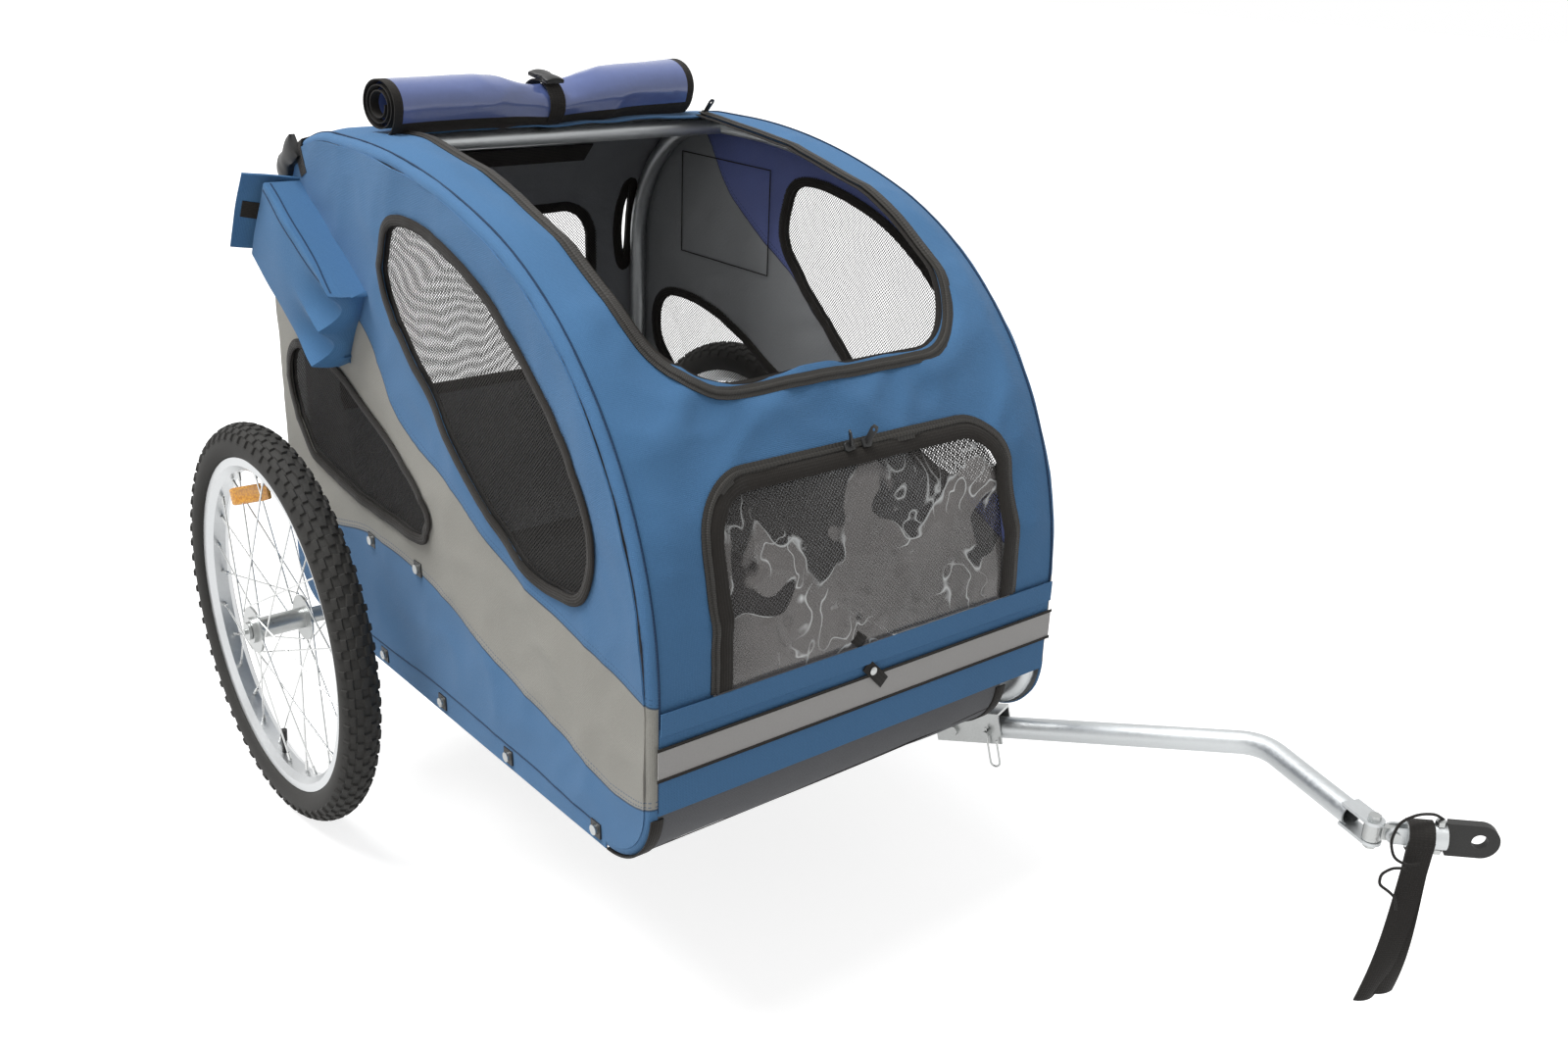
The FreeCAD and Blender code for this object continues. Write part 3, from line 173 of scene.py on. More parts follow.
def lamp(name, place, spread, power):
    """A far soft lamp that shines from a place towards the middle and lights all of the floor evenly."""
    data = bpy.data.lights.new(name, "SUN")
    data.angle, data.energy = math.radians(spread), power
    thing = bpy.data.objects.new(name, data)
    scene.collection.objects.link(thing)
    aim = Vector(place).to_track_quat("Z", "Y").to_matrix().to_4x4()
    thing.matrix_world = Matrix.Translation(place) @ aim


lamp("top_light", (-0.8, -1.0, 3.0), 35, 3.0)
lamp("right_light", (1.2, -2.6, 1.6), 50, 0.3)
deselect()
bpy.ops.mesh.primitive_plane_add(size=40, location=(0, 0, -0.0006))
floor = bpy.context.object
floor.name = "studio_floor"
floor_paint, tree, shader = finish("studio_white", 0.9, Specular_IOR_Level=0.1, Emission_Color=WHITE)
grain = add(tree, "ShaderNodeTexNoise", {"Scale": 3.0}).outputs[0]
tree.links.new(ramp(tree, grain, 0.0, 1.0, 0.50, 0.53), shader.inputs["Base Color"])
glow = maths(tree, "MULTIPLY", FLOOR_GLOW, seen_by(tree, "Is Camera Ray", "Is Glossy Ray"))
tree.links.new(glow, shader.inputs["Emission Strength"])
floor.data.materials.append(floor_paint)
print("floor, world and two lamps")

# %% [markdown]
# ## Finishes
# Every finish is a small node tree. Cloth has threads, a fine mottle and slow cloudy change of tone; metal
# has a dull zinc or satin grain; plastic has a fine moulded grain. A helper starts each one with the
# shader's plain sockets set, so that the colour and bump nodes are all that differ.

# %% Helpers for finishes and the woven cloths
CLOTH_PITCH, CLOTH_LOW, CLOTH_HIGH, CLOTH_BUMP = 0.0017, 0.80, 1.16, 0.0005


def shade(code, level=1.0):
    """A screen colour such as '#3F6FA3' as the linear values that the shader takes."""
    raw = [int(code[at:at + 2], 16) / 255 for at in (1, 3, 5)]
    return [min(1, level * (v / 12.92 if v < 0.04045 else ((v + 0.055) / 1.055) ** 2.4)) for v in raw] + [1]


def coords(tree, kind):
    return add(tree, "ShaderNodeTexCoord").outputs[kind]


def cloud(tree, where, scale, detail=1.0):
    """The outputs of a noise: its value and its colour."""
    return add(tree, "ShaderNodeTexNoise", {"Vector": where, "Scale": scale, "Detail": detail}).outputs


def blend_colours(tree, factor, first, second):
    return add(tree, "ShaderNodeMix", {0: factor, 6: first, 7: second}, data_type="RGBA").outputs[2]


def paint(tree, shader, factor, first, second):
    """Colour a shader between two colours."""
    tree.links.new(blend_colours(tree, factor, first, second), shader.inputs["Base Color"])


def bump(tree, shader, height, depth):
    node = add(tree, "ShaderNodeBump", {"Height": height, "Distance": depth, "Strength": 0.6})
    tree.links.new(node.outputs[0], shader.inputs["Normal"])


def mottle(tree, where, fine, slow):
    """Fine speckle and slow clouds in one value near one half, and the speckle alone."""
    speckle = cloud(tree, where, fine, 3.0)[0]
    clouds = cloud(tree, where, slow, 2.0)[0]
    return maths(tree, "MULTIPLY_ADD", speckle, 0.55, maths(tree, "MULTIPLY", clouds, 0.45)), speckle


def weaving(tree, uv, pitch):
    """Tone and height of a plain weave: warp and weft waves a pitch apart, with a mottle."""
    tone, speckle = mottle(tree, uv, 420.0, 5.0)
    waves = [add(tree, "ShaderNodeTexWave", {"Vector": uv, "Scale": 0.314 / pitch}, wave_profile="SIN",
                 bands_direction=way).outputs["Fac"] for way in ("X", "Y")]
    weave = maths(tree, "MULTIPLY", *waves)
    return maths(tree, "MULTIPLY_ADD", weave, 0.25, tone), maths(tree, "ADD", weave, speckle)


def woven(name, code, roughness=0.82, pitch=CLOTH_PITCH, low=CLOTH_LOW, high=CLOTH_HIGH, sheen=0.12):
    """Woven cloth: threads along its UV map, mottled colour."""
    material, tree, shader = finish(name, roughness, Sheen_Weight=sheen, Sheen_Roughness=0.4,
                                    Specular_IOR_Level=0.25)
    tone, height = weaving(tree, coords(tree, "UV"), pitch)
    paint(tree, shader, tone, shade(code, low), shade(code, high))
    bump(tree, shader, height, CLOTH_BUMP)
    return material


BLUE, GREY, CHARCOAL = "#4C78A3", "#9C9A93", "#66676A"
blue_cloth = woven("blue_cloth", BLUE)
charcoal_cloth = woven("charcoal_cloth", CHARCOAL, low=0.72, high=1.2)
lining_cloth = woven("dark_lining", "#8A8C90", low=0.75, high=1.2)
webbing = woven("black_webbing", "#262422", pitch=0.0024, low=0.55, high=1.5)
binding = woven("dark_binding", "#262320", pitch=0.0012, low=0.6, high=1.4)
seam_thread = woven("seam_thread", "#25405F", pitch=0.003, low=0.5, high=1.3)
print("plain cloths ready")

# %% [markdown]
# The side walls and the rear are sewn from blue and grey cloth along wavy seams. Cutting them as separate
# sheets would give hairline gaps, so one sheet is coloured by a curve: a Float Curve node gives the seam's
# height for each place along the wall, and the distance from it gives the seam's groove and its two rows of
# stitches. The inner face has a wave of its own in the colours of the coated back.

# %% Cloth with wavy seams
WAVE_X, WAVE_Z = (-160.0, 700.0), (200.0, 860.0)
STITCH_ROWS = (0.0034, 0.0082)
upper_wave = [(-160, 832), (-100, 792), (-40, 740), (40, 690), (125, 639), (198, 554), (308, 513),
              (430, 460), (543, 437), (629, 420), (700, 405)]
lower_wave = [(-160, 345), (-1, 368), (99, 386), (226, 380), (339, 357), (423, 333), (539, 310), (629, 292),
              (700, 305)]
inner_wave = [(-160, 860), (-40, 852), (12, 811), (38, 775), (65, 740), (110, 706), (163, 676), (210, 648),
              (247, 617), (288, 594), (319, 580), (430, 520), (560, 440), (700, 380)]


def wave_distance(tree, place, wave):
    """How far a place is above a seam, in metres."""
    along = ramp(tree, place["X"], *(x / 1000 + AXLE_X for x in WAVE_X))
    curve = add(tree, "ShaderNodeFloatCurve", {"Value": along})
    line = curve.mapping.curves[0]
    spots = [((x - WAVE_X[0]) / (WAVE_X[1] - WAVE_X[0]), (z - WAVE_Z[0]) / (WAVE_Z[1] - WAVE_Z[0]))
             for x, z in wave]
    line.points[0].location, line.points[1].location = spots[0], spots[-1]
    for spot in spots[1:-1]:
        line.points.new(*spot)
    curve.mapping.update()
    seam = ramp(tree, curve.outputs[0], 0.0, 1.0, WAVE_Z[0] / 1000, WAVE_Z[1] / 1000, clamp=False)
    return maths(tree, "SUBTRACT", place["Z"], seam)


def two_tone(name, outer, inner, seam_code, waves, roughness=0.82, sheen=0.12):
    """Cloth of two colours: the outer one beyond the waves, the inner one between them."""
    material, tree, shader = finish(name, roughness, Sheen_Weight=sheen, Specular_IOR_Level=0.3)
    where = coords(tree, "Object")
    place = add(tree, "ShaderNodeSeparateXYZ", {0: where}).outputs
    tone, height = weaving(tree, coords(tree, "UV"), CLOTH_PITCH)
    colours = [blend_colours(tree, tone, shade(code, CLOTH_LOW), shade(code, CLOTH_HIGH))
               for code in (inner, outer)]
    gaps = [wave_distance(tree, place, wave) for wave in waves]
    beyond = maths(tree, "GREATER_THAN", gaps[0], 0.0)
    if len(gaps) > 1:
        beyond = maths(tree, "MAXIMUM", beyond, maths(tree, "LESS_THAN", gaps[1], 0.0))
    beat = add(tree, "ShaderNodeTexWave", {"Vector": where, "Scale": 72.0}, bands_direction="X")
    stitch = maths(tree, "GREATER_THAN", beat.outputs["Fac"], 0.35)
    groove, rows = 0.0, 0.0
    for gap in gaps:
        groove = maths(tree, "MAXIMUM", groove, maths(tree, "COMPARE", gap, 0.0, 0.0011))
        for offset in STITCH_ROWS:
            row = maths(tree, "MULTIPLY", maths(tree, "COMPARE", gap, offset, 0.0006), stitch)
            rows = maths(tree, "MAXIMUM", rows, row)
    mixed = blend_colours(tree, beyond, *colours)
    mixed = blend_colours(tree, maths(tree, "MULTIPLY", groove, 0.8), mixed, shade(seam_code, 0.3))
    paint(tree, shader, maths(tree, "MULTIPLY", rows, 0.7), mixed, shade(seam_code, 0.55))
    bump(tree, shader, maths(tree, "SUBTRACT", height, maths(tree, "MULTIPLY", groove, 2.5)), CLOTH_BUMP)
    return material


side_cloth = two_tone("side_cloth", BLUE, GREY, BLUE, [upper_wave, lower_wave])
side_lining = two_tone("side_lining", "#6C78B4", "#9A9C9E", "#3A4270", [inner_wave], 0.42, 0.0)
print("wavy cloths ready")

# %% [markdown]
# ## Hard finishes
# The tubes are satin anodised aluminium, the fittings are zinc plated, the tyres are dull black rubber with
# dust in it, and the trims are moulded plastic. The rain cover is a glossy coated vinyl and the door has a
# clear one. Nets are cloth with round holes, made see-through by a hole pattern on the UV map.

# %% Metal, rubber, plastic, vinyl and nets


def metal(name, code, roughness, grain, low=0.85, high=1.12):
    """Metal with a fine grain and small changes of gloss."""
    material, tree, shader = finish(name, roughness, Metallic=1.0)
    tone, speckle = mottle(tree, coords(tree, "Object"), grain, grain / 20)
    paint(tree, shader, tone, shade(code, low), shade(code, high))
    gloss = ramp(tree, tone, 0.3, 0.7, roughness * 0.8, roughness * 1.25)
    tree.links.new(gloss, shader.inputs["Roughness"])
    bump(tree, shader, speckle, 0.00008)
    return material


def moulded(name, code, roughness, grain=900.0, low=0.7, high=1.3, depth=0.00012):
    """Plastic or rubber with a moulded grain and slightly worn tone."""
    material, tree, shader = finish(name, roughness, Specular_IOR_Level=0.4)
    tone, speckle = mottle(tree, coords(tree, "Object"), grain, 14.0)
    paint(tree, shader, tone, shade(code, low), shade(code, high))
    bump(tree, shader, speckle, depth)
    return material


satin_tube = metal("satin_tube", "#C6C9CA", 0.46, 260.0)
zinc = metal("zinc_plate", "#BCBEBD", 0.32, 500.0, 0.7, 1.1)
rim_alloy = metal("rim_alloy", "#C6C8C9", 0.34, 320.0)
spoke_steel = metal("spoke_steel", "#D2D3D2", 0.22, 700.0)
tyre_rubber = moulded("tyre_rubber", "#32312F", 0.80, 500.0, 0.6, 1.4, 0.0003)
black_plastic = moulded("black_plastic", "#2A2A2A", 0.42)
cap_plastic = moulded("cap_plastic", "#242424", 0.5)
floor_panel = moulded("floor_panel", "#4A4A4C", 0.6, 300.0)
tongue_fibre = moulded("tongue_fibre", "#2C2C2B", 0.6, 650.0, 0.5, 1.6, 0.0005)


def reflex(name, code):
    """Clear coloured plastic with rows of small prisms behind its face; over its own amber, each prism is
    painted lighter in the middle and darker at its edges, as painted glints and painted shade.
    """
    material, tree, shader = finish(name, 0.12, Coat_Weight=0.6, Coat_Roughness=0.05,
                                    Specular_IOR_Level=0.6)
    cells = add(tree, "ShaderNodeTexVoronoi", {"Vector": coords(tree, "Object"), "Scale": 330.0},
                distance="CHEBYCHEV").outputs["Distance"]
    # Painted glints and shade: each prism's middle is lighter and its edges darker, over the amber's own
    # colour.
    paint(tree, shader, maths(tree, "MULTIPLY", cells, 1.3), shade(code, 1.5), shade(code, 0.55))
    bump(tree, shader, cells, 0.0004)
    return material


amber = reflex("amber_reflector", "#FF9A1E")
silver_tape = woven("silver_tape", "#B4B2B0", 0.45, 0.0008, 0.88, 1.1, 0.0)


def net(name, code, pitch, hole):
    """Knitted net: threads that leave rows of small holes open."""
    material, tree, shader = finish(name, 0.8, Specular_IOR_Level=0.2)
    uv = coords(tree, "UV")
    turned = add(tree, "ShaderNodeMapping", {"Vector": uv, "Rotation": (0, 0, math.radians(45)),
                                             "Scale": (1 / pitch, 1 / pitch, 1)}).outputs[0]
    cells = add(tree, "ShaderNodeTexVoronoi", {"Vector": turned, "Scale": 1.0, "Randomness": 0.0},
                voronoi_dimensions="2D")
    solid_part = maths(tree, "GREATER_THAN", cells.outputs["Distance"], hole)
    tree.links.new(solid_part, shader.inputs["Alpha"])
    paint(tree, shader, mottle(tree, uv, 500.0, 8.0)[0], shade(code, 0.7), shade(code, 1.3))
    return material


window_net = net("window_net", "#403E3C", 0.0030, 0.435)
door_net = net("door_net", "#2B2A29", 0.0030, 0.34)


def vinyl(name, code, roughness, **sockets):
    """Smooth coated sheet with soft dents in its gloss."""
    material, tree, shader = finish(name, roughness, **sockets)
    tone, _ = mottle(tree, coords(tree, "Object"), 90.0, 9.0)
    paint(tree, shader, tone, shade(code, 0.85), shade(code, 1.12))
    bump(tree, shader, tone, 0.0012)
    return material


navy_vinyl = vinyl("navy_vinyl", "#5F70A8", 0.27, Coat_Weight=0.6, Coat_Roughness=0.12)


def clear_sheet(name):
    """Clear vinyl with painted reflections of the pale floor in patches, and painted highlights in bright
    curls at their edges.
    """
    material, tree, shader = finish(name, 0.12, Specular_IOR_Level=0.6)
    uv = coords(tree, "UV")

    def line(value, middle, width):
        away = maths(tree, "ABSOLUTE", maths(tree, "SUBTRACT", value, middle))
        return ramp(tree, away, 0.0, width, 1.0, 0.0)

    def product(first, second):
        return maths(tree, "MULTIPLY", first, second)

    warped = add(tree, "ShaderNodeVectorMath", {0: cloud(tree, uv, 12.0)[1], 1: (0.07, 0.07, 0.07), 2: uv},
                 operation="MULTIPLY_ADD").outputs[0]
    height = add(tree, "ShaderNodeSeparateXYZ", {0: uv}).outputs["X"]
    field = maths(tree, "ADD", cloud(tree, warped, 13.0, 1.5)[0],
                  ramp(tree, height, 0.02, 0.18, 0.15, -0.07))
    # Painted highlights: bright, more opaque lines along the edges of the patches and in curls of their
    # own.
    rim = product(line(field, 0.522, 0.012), ramp(tree, cloud(tree, uv, 17.0)[0], 0.47, 0.55))
    painted_curl_highlight = product(line(cloud(tree, warped, 34.0)[0], 0.5, 0.022),
                   ramp(tree, cloud(tree, uv, 9.0)[0], 0.50, 0.56))
    painted_highlight = maths(tree, "MAXIMUM", rim, painted_curl_highlight)
    # Painted reflection of the pale floor: patches that are paler and less clear.
    patch = product(ramp(tree, field, 0.515, 0.530),
                    ramp(tree, cloud(tree, warped, 7.0, 2.0)[0], 0.35, 0.65, 0.55, 1.15))
    cover = maths(tree, "MULTIPLY_ADD", patch, 0.42, maths(tree, "MULTIPLY_ADD", painted_highlight, 0.42, 0.08))
    tree.links.new(cover, shader.inputs["Alpha"])
    paint(tree, shader, painted_highlight, shade("#8B8785"), shade("#DDE0E0"))
    return material


clear_vinyl = clear_sheet("clear_vinyl")


def toothed(name):
    """Zip tape with a row of teeth along it."""
    material, tree, shader = finish(name, 0.55, Specular_IOR_Level=0.4)
    uv = coords(tree, "UV")
    tone, speckle = mottle(tree, uv, 900.0, 20.0)
    teeth = add(tree, "ShaderNodeTexWave", {"Vector": uv, "Scale": 115.0},
                bands_direction="X").outputs["Fac"]
    mix = maths(tree, "MULTIPLY_ADD", teeth, 0.5, maths(tree, "MULTIPLY", tone, 0.6))
    paint(tree, shader, mix, shade("#151413"), shade("#37342F"))
    bump(tree, shader, maths(tree, "ADD", teeth, speckle), 0.0006)
    return material


zip_teeth = toothed("zip_tape")
print("hard finishes ready")

# %% Give the CAD nodes that stay their finish


def both(*names):
    return [f"{name}_{side}" for name in names for side in SIDES]


FITTINGS = ["plate_bolts", "tow_bracket", "tow_pivot_bolt", "swing_bolt", "lock_pin", "spring_clip",
            "hitch_link", "tilt_pin", "hitch_bolt", "cover_screws"]
NODE_FINISHES = [
    (satin_tube, both("side_bow") + ["floor_frame", "roof_bar", "tow_tube", "hitch_tube"]),
    (zinc, both("axle_plate", "axle", "hub", "axle_button") + FITTINGS),
    (rim_alloy, both("rim")), (spoke_steel, both("spokes")), (cap_plastic, both("valve")),
    (black_plastic, ["cover_washers", "zip_sliders"]), (floor_panel, ["floor_board"]),
    (tongue_fibre, ["hitch_tongue"]),
]
for material, names in NODE_FINISHES:
    for name in names:
        node = bpy.data.objects[name]
        if not node.material_slots:
            node.data.materials.append(material)
        for holder in node.material_slots:
            holder.material = material
print("finishes on", sum(len(names) for _, names in NODE_FINISHES), "CAD nodes")

# %% [markdown]
# ## The outline that all the cloth follows
# From the side, the cover follows the bent tube: front foot, upright front, one long bow, a flat crown, a
# short level roof, the rounded rear and the rear foot. The outline is sampled once, a millimetre apart,
# with its outward direction, so that any sheet can be laid on it at any height above the tube by
# interpolation.

# %% Sample the outline
OUTLINE = [("arc", 608, 296, 62, -90, 0), ("line", 670, 296, 670, 400), ("arc", 260, 400, 410, 0, 72),
           ("arc", 108.58, -66.02, 900, 72, 90), ("line", 108.58, 833.98, 54.98, 833.98),
           ("arc", 54.98, 644, 189.98, 90, 180), ("line", -135, 644, -135, 296),
           ("arc", -73, 296, 62, 180, 270)]
CLOTH_LIFT = 15
rows, marks, travelled = [], [0.0], 0.0
for kind, *numbers in OUTLINE:
    if kind == "arc":
        x, z, radius, begin, end = numbers
        length = radius * math.radians(end - begin)
        for share in np.linspace(0, 1, int(length) + 1):
            angle = math.radians(begin + (end - begin) * share)
            rows.append((travelled + length * share, x + radius * math.cos(angle),
                         z + radius * math.sin(angle), math.cos(angle), math.sin(angle)))
    else:
        x0, z0, x1, z1 = numbers
        length = math.hypot(x1 - x0, z1 - z0)
        for share in np.linspace(0, 1, int(length) + 1):
            rows.append((travelled + length * share, x0 + (x1 - x0) * share, z0 + (z1 - z0) * share,
                         (z1 - z0) / length, (x0 - x1) / length))
    travelled += length
    marks.append(travelled)
RUN, RUN_X, RUN_Z, RUN_NX, RUN_NZ = np.array(rows).T
RUN_START, FOOT_TOP, *_, ROOF_END, REAR_TOP, REAR_LOW, RUN_END = marks


def xyz(x, y, z):
    """Points from their three columns, any of which may be a single value."""
    return np.stack(np.broadcast_arrays(x, y, z), axis=-1)


def unit(directions):
    return directions / np.linalg.norm(directions, axis=-1, keepdims=True)


def on_outline(run, across, grow):
    """Points and outward directions at places along the outline, across the trailer and above the tube."""
    run, across, grow = np.broadcast_arrays(np.asarray(run, float), across, grow)
    x, z, nx, nz = [np.interp(run, RUN, column) for column in (RUN_X, RUN_Z, RUN_NX, RUN_NZ)]
    return xyz(x + nx * grow, across, z + nz * grow), xyz(nx, 0.0, nz)


def run_at(values, column, first, last, sign):
    """The place along a part of the outline where a column, which rises or falls there, has a value."""
    part = (RUN >= first) & (RUN <= last)
    return np.interp(sign * np.asarray(values, float), sign * column[part], RUN[part])


def run_at_front(z):
    return run_at(z, RUN_Z + CLOTH_LIFT * RUN_NZ, RUN_START, ROOF_END, 1)


def run_at_roof(x):
    return run_at(x, RUN_X + CLOTH_LIFT * RUN_NX, FOOT_TOP, REAR_TOP, -1)


def run_at_rear(z):
    return run_at(z, RUN_Z + CLOTH_LIFT * RUN_NZ, ROOF_END, REAR_LOW, -1)


print("outline", round(travelled), "mm long")

# %% [markdown]
# ## Helpers for sewn sheets
# A sheet starts as Blender's grid, and each of its points is moved to its place on the outline. Its UV map
# is the flat cloth in metres, so threads and holes keep their size. A Solidify modifier gives it a face
# side and a lined side, and window openings are cut by Boolean modifiers with prisms that are extruded in
# edit mode.

# %% Grid, prism, carve and sweep


def choose(piece):
    """Make a piece the only selected and the active one."""
    deselect()
    piece.select_set(True)
    bpy.context.view_layer.objects.active = piece


def modify(piece, kind, **settings):
    """Add a modifier and apply it at once."""
    choose(piece)
    step = piece.modifiers.new(kind.lower(), kind)
    for key, value in settings.items():
        setattr(step, key, value)
    bpy.ops.object.modifier_apply(modifier=step.name)


def edit(piece):
    """Open a piece in edit mode with all of it selected."""
    choose(piece)
    bpy.ops.object.mode_set(mode="EDIT")
    bpy.ops.mesh.select_all(action="SELECT")


def close_edit():
    bpy.ops.object.mode_set(mode="OBJECT")


def weld(piece, reach, turn_out=True):
    """Join points that lie together, and let all faces look outwards."""
    edit(piece)
    bpy.ops.mesh.remove_doubles(threshold=reach)
    if turn_out:
        bpy.ops.mesh.normals_make_consistent(inside=False)
    close_edit()


def points_of(piece):
    flat = np.empty(len(piece.data.vertices) * 3)
    piece.data.vertices.foreach_get("co", flat)
    return flat.reshape(-1, 3)


def place(piece, points):
    """Move the points of a mesh to places in millimetres."""
    piece.data.vertices.foreach_set("co", metres(points).ravel())
    piece.data.update()


def grid_sheet(name, cells, rule, uv_size, flip=False):
    """A grid whose points go where the rule says; u and v run from 0 to 1, and the UV map is in metres."""
    deselect()
    bpy.ops.mesh.primitive_grid_add(x_subdivisions=cells[0], y_subdivisions=cells[1], size=1)
    piece = bpy.context.object
    piece.name = piece.data.name = name
    u, v, _ = np.clip(points_of(piece) + 0.5, 0, 1).T
    corners = np.empty(len(piece.data.loops), int)
    piece.data.loops.foreach_get("vertex_index", corners)
    uv = np.stack([u * uv_size[0], v * uv_size[1]], axis=-1)[corners]
    piece.data.uv_layers[0].data.foreach_set("uv", uv.ravel())
    if flip:
        piece.data.flip_normals()
    place(piece, rule(u, v))
    return piece


def dress(piece, *materials):
    piece.data.materials.clear()
    for material in materials:
        piece.data.materials.append(material)


def thicken(piece, wall, lined=False):
    """Give a sheet its thickness on the inner side, in millimetres."""
    modify(piece, "SOLIDIFY", thickness=wall / 1000, offset=-1, use_even_offset=False,
           material_offset=1 if lined else 0)


def prism(loop, depth):
    """A closed prism over a loop of points, pushed along a depth; both in millimetres."""
    deselect()
    bpy.ops.mesh.primitive_circle_add(vertices=len(loop), fill_type="NGON")
    tool = bpy.context.object
    place(tool, loop)
    edit(tool)
    bpy.ops.mesh.extrude_region_move(TRANSFORM_OT_translate={"value": [value / 1000 for value in depth]})
    bpy.ops.mesh.select_all(action="SELECT")
    bpy.ops.mesh.normals_make_consistent(inside=False)
    close_edit()
    return tool


def carve(piece, tool, how="DIFFERENCE"):
    """Cut a piece with a tool and throw the tool away."""
    modify(piece, "BOOLEAN", operation=how, object=tool, solver="EXACT")
    bpy.data.objects.remove(tool)


def lengths_along(line):
    """How far along a line each of its points is."""
    return np.concatenate([[0], np.cumsum(np.linalg.norm(np.diff(line, axis=0), axis=1))])


def sweep(name, spine, normals, section, closed=False):
    """A band along a line: the section is a loop of (sideways, outward) places, in millimetres."""
    spine, normals = np.asarray(spine, float), np.asarray(normals, float)
    if closed:
        spine, normals = np.vstack([spine, spine[:1]]), np.vstack([normals, normals[:1]])
        heading = np.gradient(np.vstack([spine[-2:-1], spine, spine[1:2]]), axis=0)[1:-1]
    else:
        heading = np.gradient(spine, axis=0)
    heading = unit(heading)
    sideways = unit(np.cross(heading, normals))
    normals = np.cross(sideways, heading)
    loop = np.asarray(list(section) + [section[0]], float)
    count, places = len(spine) - 1, len(loop) - 1

    def rule(u, v):
        at, part = np.rint(u * count).astype(int), np.rint(v * places).astype(int)
        return spine[at] + sideways[at] * loop[part, :1] + normals[at] * loop[part, 1:]

    uv_size = (lengths_along(spine)[-1] / 1000, lengths_along(loop)[-1] / 1000)
    piece = grid_sheet(name, (count, places), rule, uv_size)
    edit(piece)
    bpy.ops.mesh.remove_doubles(threshold=0.00001)
    if not closed:
        bpy.ops.mesh.select_mode(type="VERT")
        bpy.ops.mesh.select_all(action="DESELECT")
        bpy.ops.mesh.select_non_manifold()
        bpy.ops.mesh.fill_holes(sides=0)
        bpy.ops.mesh.select_all(action="SELECT")
    bpy.ops.mesh.normals_make_consistent(inside=False)
    close_edit()
    return piece


def soften(piece, angle=35):
    """Smooth shading except over sharp folds."""
    choose(piece)
    bpy.ops.object.shade_smooth_by_angle(angle=math.radians(angle))


def mount(piece, body, slot, *nodes):
    """Let a piece ride a body and hide the CAD nodes that it stands for; its slot is not used."""
    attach(piece, body)
    if nodes:
        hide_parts(*nodes)
    print(piece.name, len(piece.data.polygons), "faces")


def complete(piece, material, angle, *mounting):
    """Give a piece its finish, its shading and its place."""
    dress(piece, material)
    if angle:
        soften(piece, angle)
    mount(piece, *mounting)


# %% [markdown]
# Two helpers carry a piece all the way from its rule or its line to its body. A sheet is cut to a shape
# first and then gets its holes. Creases come from smooth noise, and sharp ones from the places where it is
# zero.

# %% Whole sheets and trims, sections and creases


def sewn(name, cells, rule, uv_size, materials, wall, *mounting, flip=False, shape=None, holes=(),
         angle=35):
    """A sheet from its grid to its place; a second material is its lining."""
    piece = grid_sheet(name, cells, rule, uv_size, flip)
    dress(piece, *materials)
    thicken(piece, wall, lined=len(materials) > 1)
    if shape:
        carve(piece, prism(*shape), "INTERSECT")
    for hole in holes:
        carve(piece, prism(*hole))
    soften(piece, angle)
    if mounting:
        mount(piece, *mounting)
    return piece


def trim(name, spine, out, section, material, *mounting, closed=False, angle=50):
    """A tape, zip or thread along a line, from its section to its place."""
    piece = sweep(name, spine, out, section, closed)
    complete(piece, material, angle, *mounting)
    return piece


def flat_band(half, low, high):
    """The section of a plain band: half its width, and the heights of its two faces."""
    return [(-half, low), (-half, high), (half, high), (half, low)]


def scaled(section, wide, high=1.0):
    return [(a * wide, b * high) for a, b in section]


def fold_noise(points, scale, seed):
    """Slow noise between -1 and 1 at points in millimetres."""
    shift = Vector((seed, seed * 0.7, -seed))
    return np.array([noise.noise(Vector(point) * scale + shift) for point in points])


def ridges(points, scale, seed):
    """Sharp soft-sided creases between 0 and 1, as in stretched cloth."""
    return (1 - np.abs(fold_noise(points, scale, seed))) ** 4


TAPE = [(-8, 0), (-8, 1.0), (-7.4, 1.3), (7.4, 1.3), (8, 1.0), (8, 0)]
ZIP = [(-8.5, 0), (-8.5, 1.1), (-2.9, 1.3), (-2.5, 2.5), (-1.2, 3.0), (1.2, 3.0), (2.5, 2.5), (2.9, 1.3),
       (8.5, 1.1), (8.5, 0)]
SEAM = flat_band(0.9, -1.0, 0.3)
DARK, BLUE_PART = (BODY, "dark_binding"), (BODY, "blue_cloth")
print("sheet helpers ready")

# %% [markdown]
# ## Side walls
# Each side wall is one large panel with two rounded windows. It is stretched over the bow, so it is nearly
# flat, with soft dents that fade out at the hem and near the edge. The panel rolls over the tube in a
# rounded edge, where it is sewn to the canopy; that edge is a strip of its own with a dark seam beside it.

# %% Windows as smooth loops
OUTLINE_LOW, OUTLINE_SIZE = np.array([-135, 234]), np.array([805, 599.98])
FRONT_WINDOW = [(0.425, 0.907), (0.393, 0.838), (0.391, 0.767), (0.442, 0.692), (0.507, 0.623),
                (0.620, 0.493), (0.752, 0.400), (0.832, 0.392), (0.882, 0.417), (0.902, 0.522),
                (0.860, 0.633), (0.775, 0.738), (0.652, 0.853), (0.529, 0.905)]
REAR_WINDOW = [(0.087, 0.583), (0.036, 0.542), (0.034, 0.460), (0.078, 0.390), (0.135, 0.347),
               (0.282, 0.323), (0.455, 0.322), (0.486, 0.352), (0.489, 0.388), (0.448, 0.433),
               (0.334, 0.505), (0.210, 0.572)]
WINDOWS = {"front": FRONT_WINDOW, "rear": REAR_WINDOW}


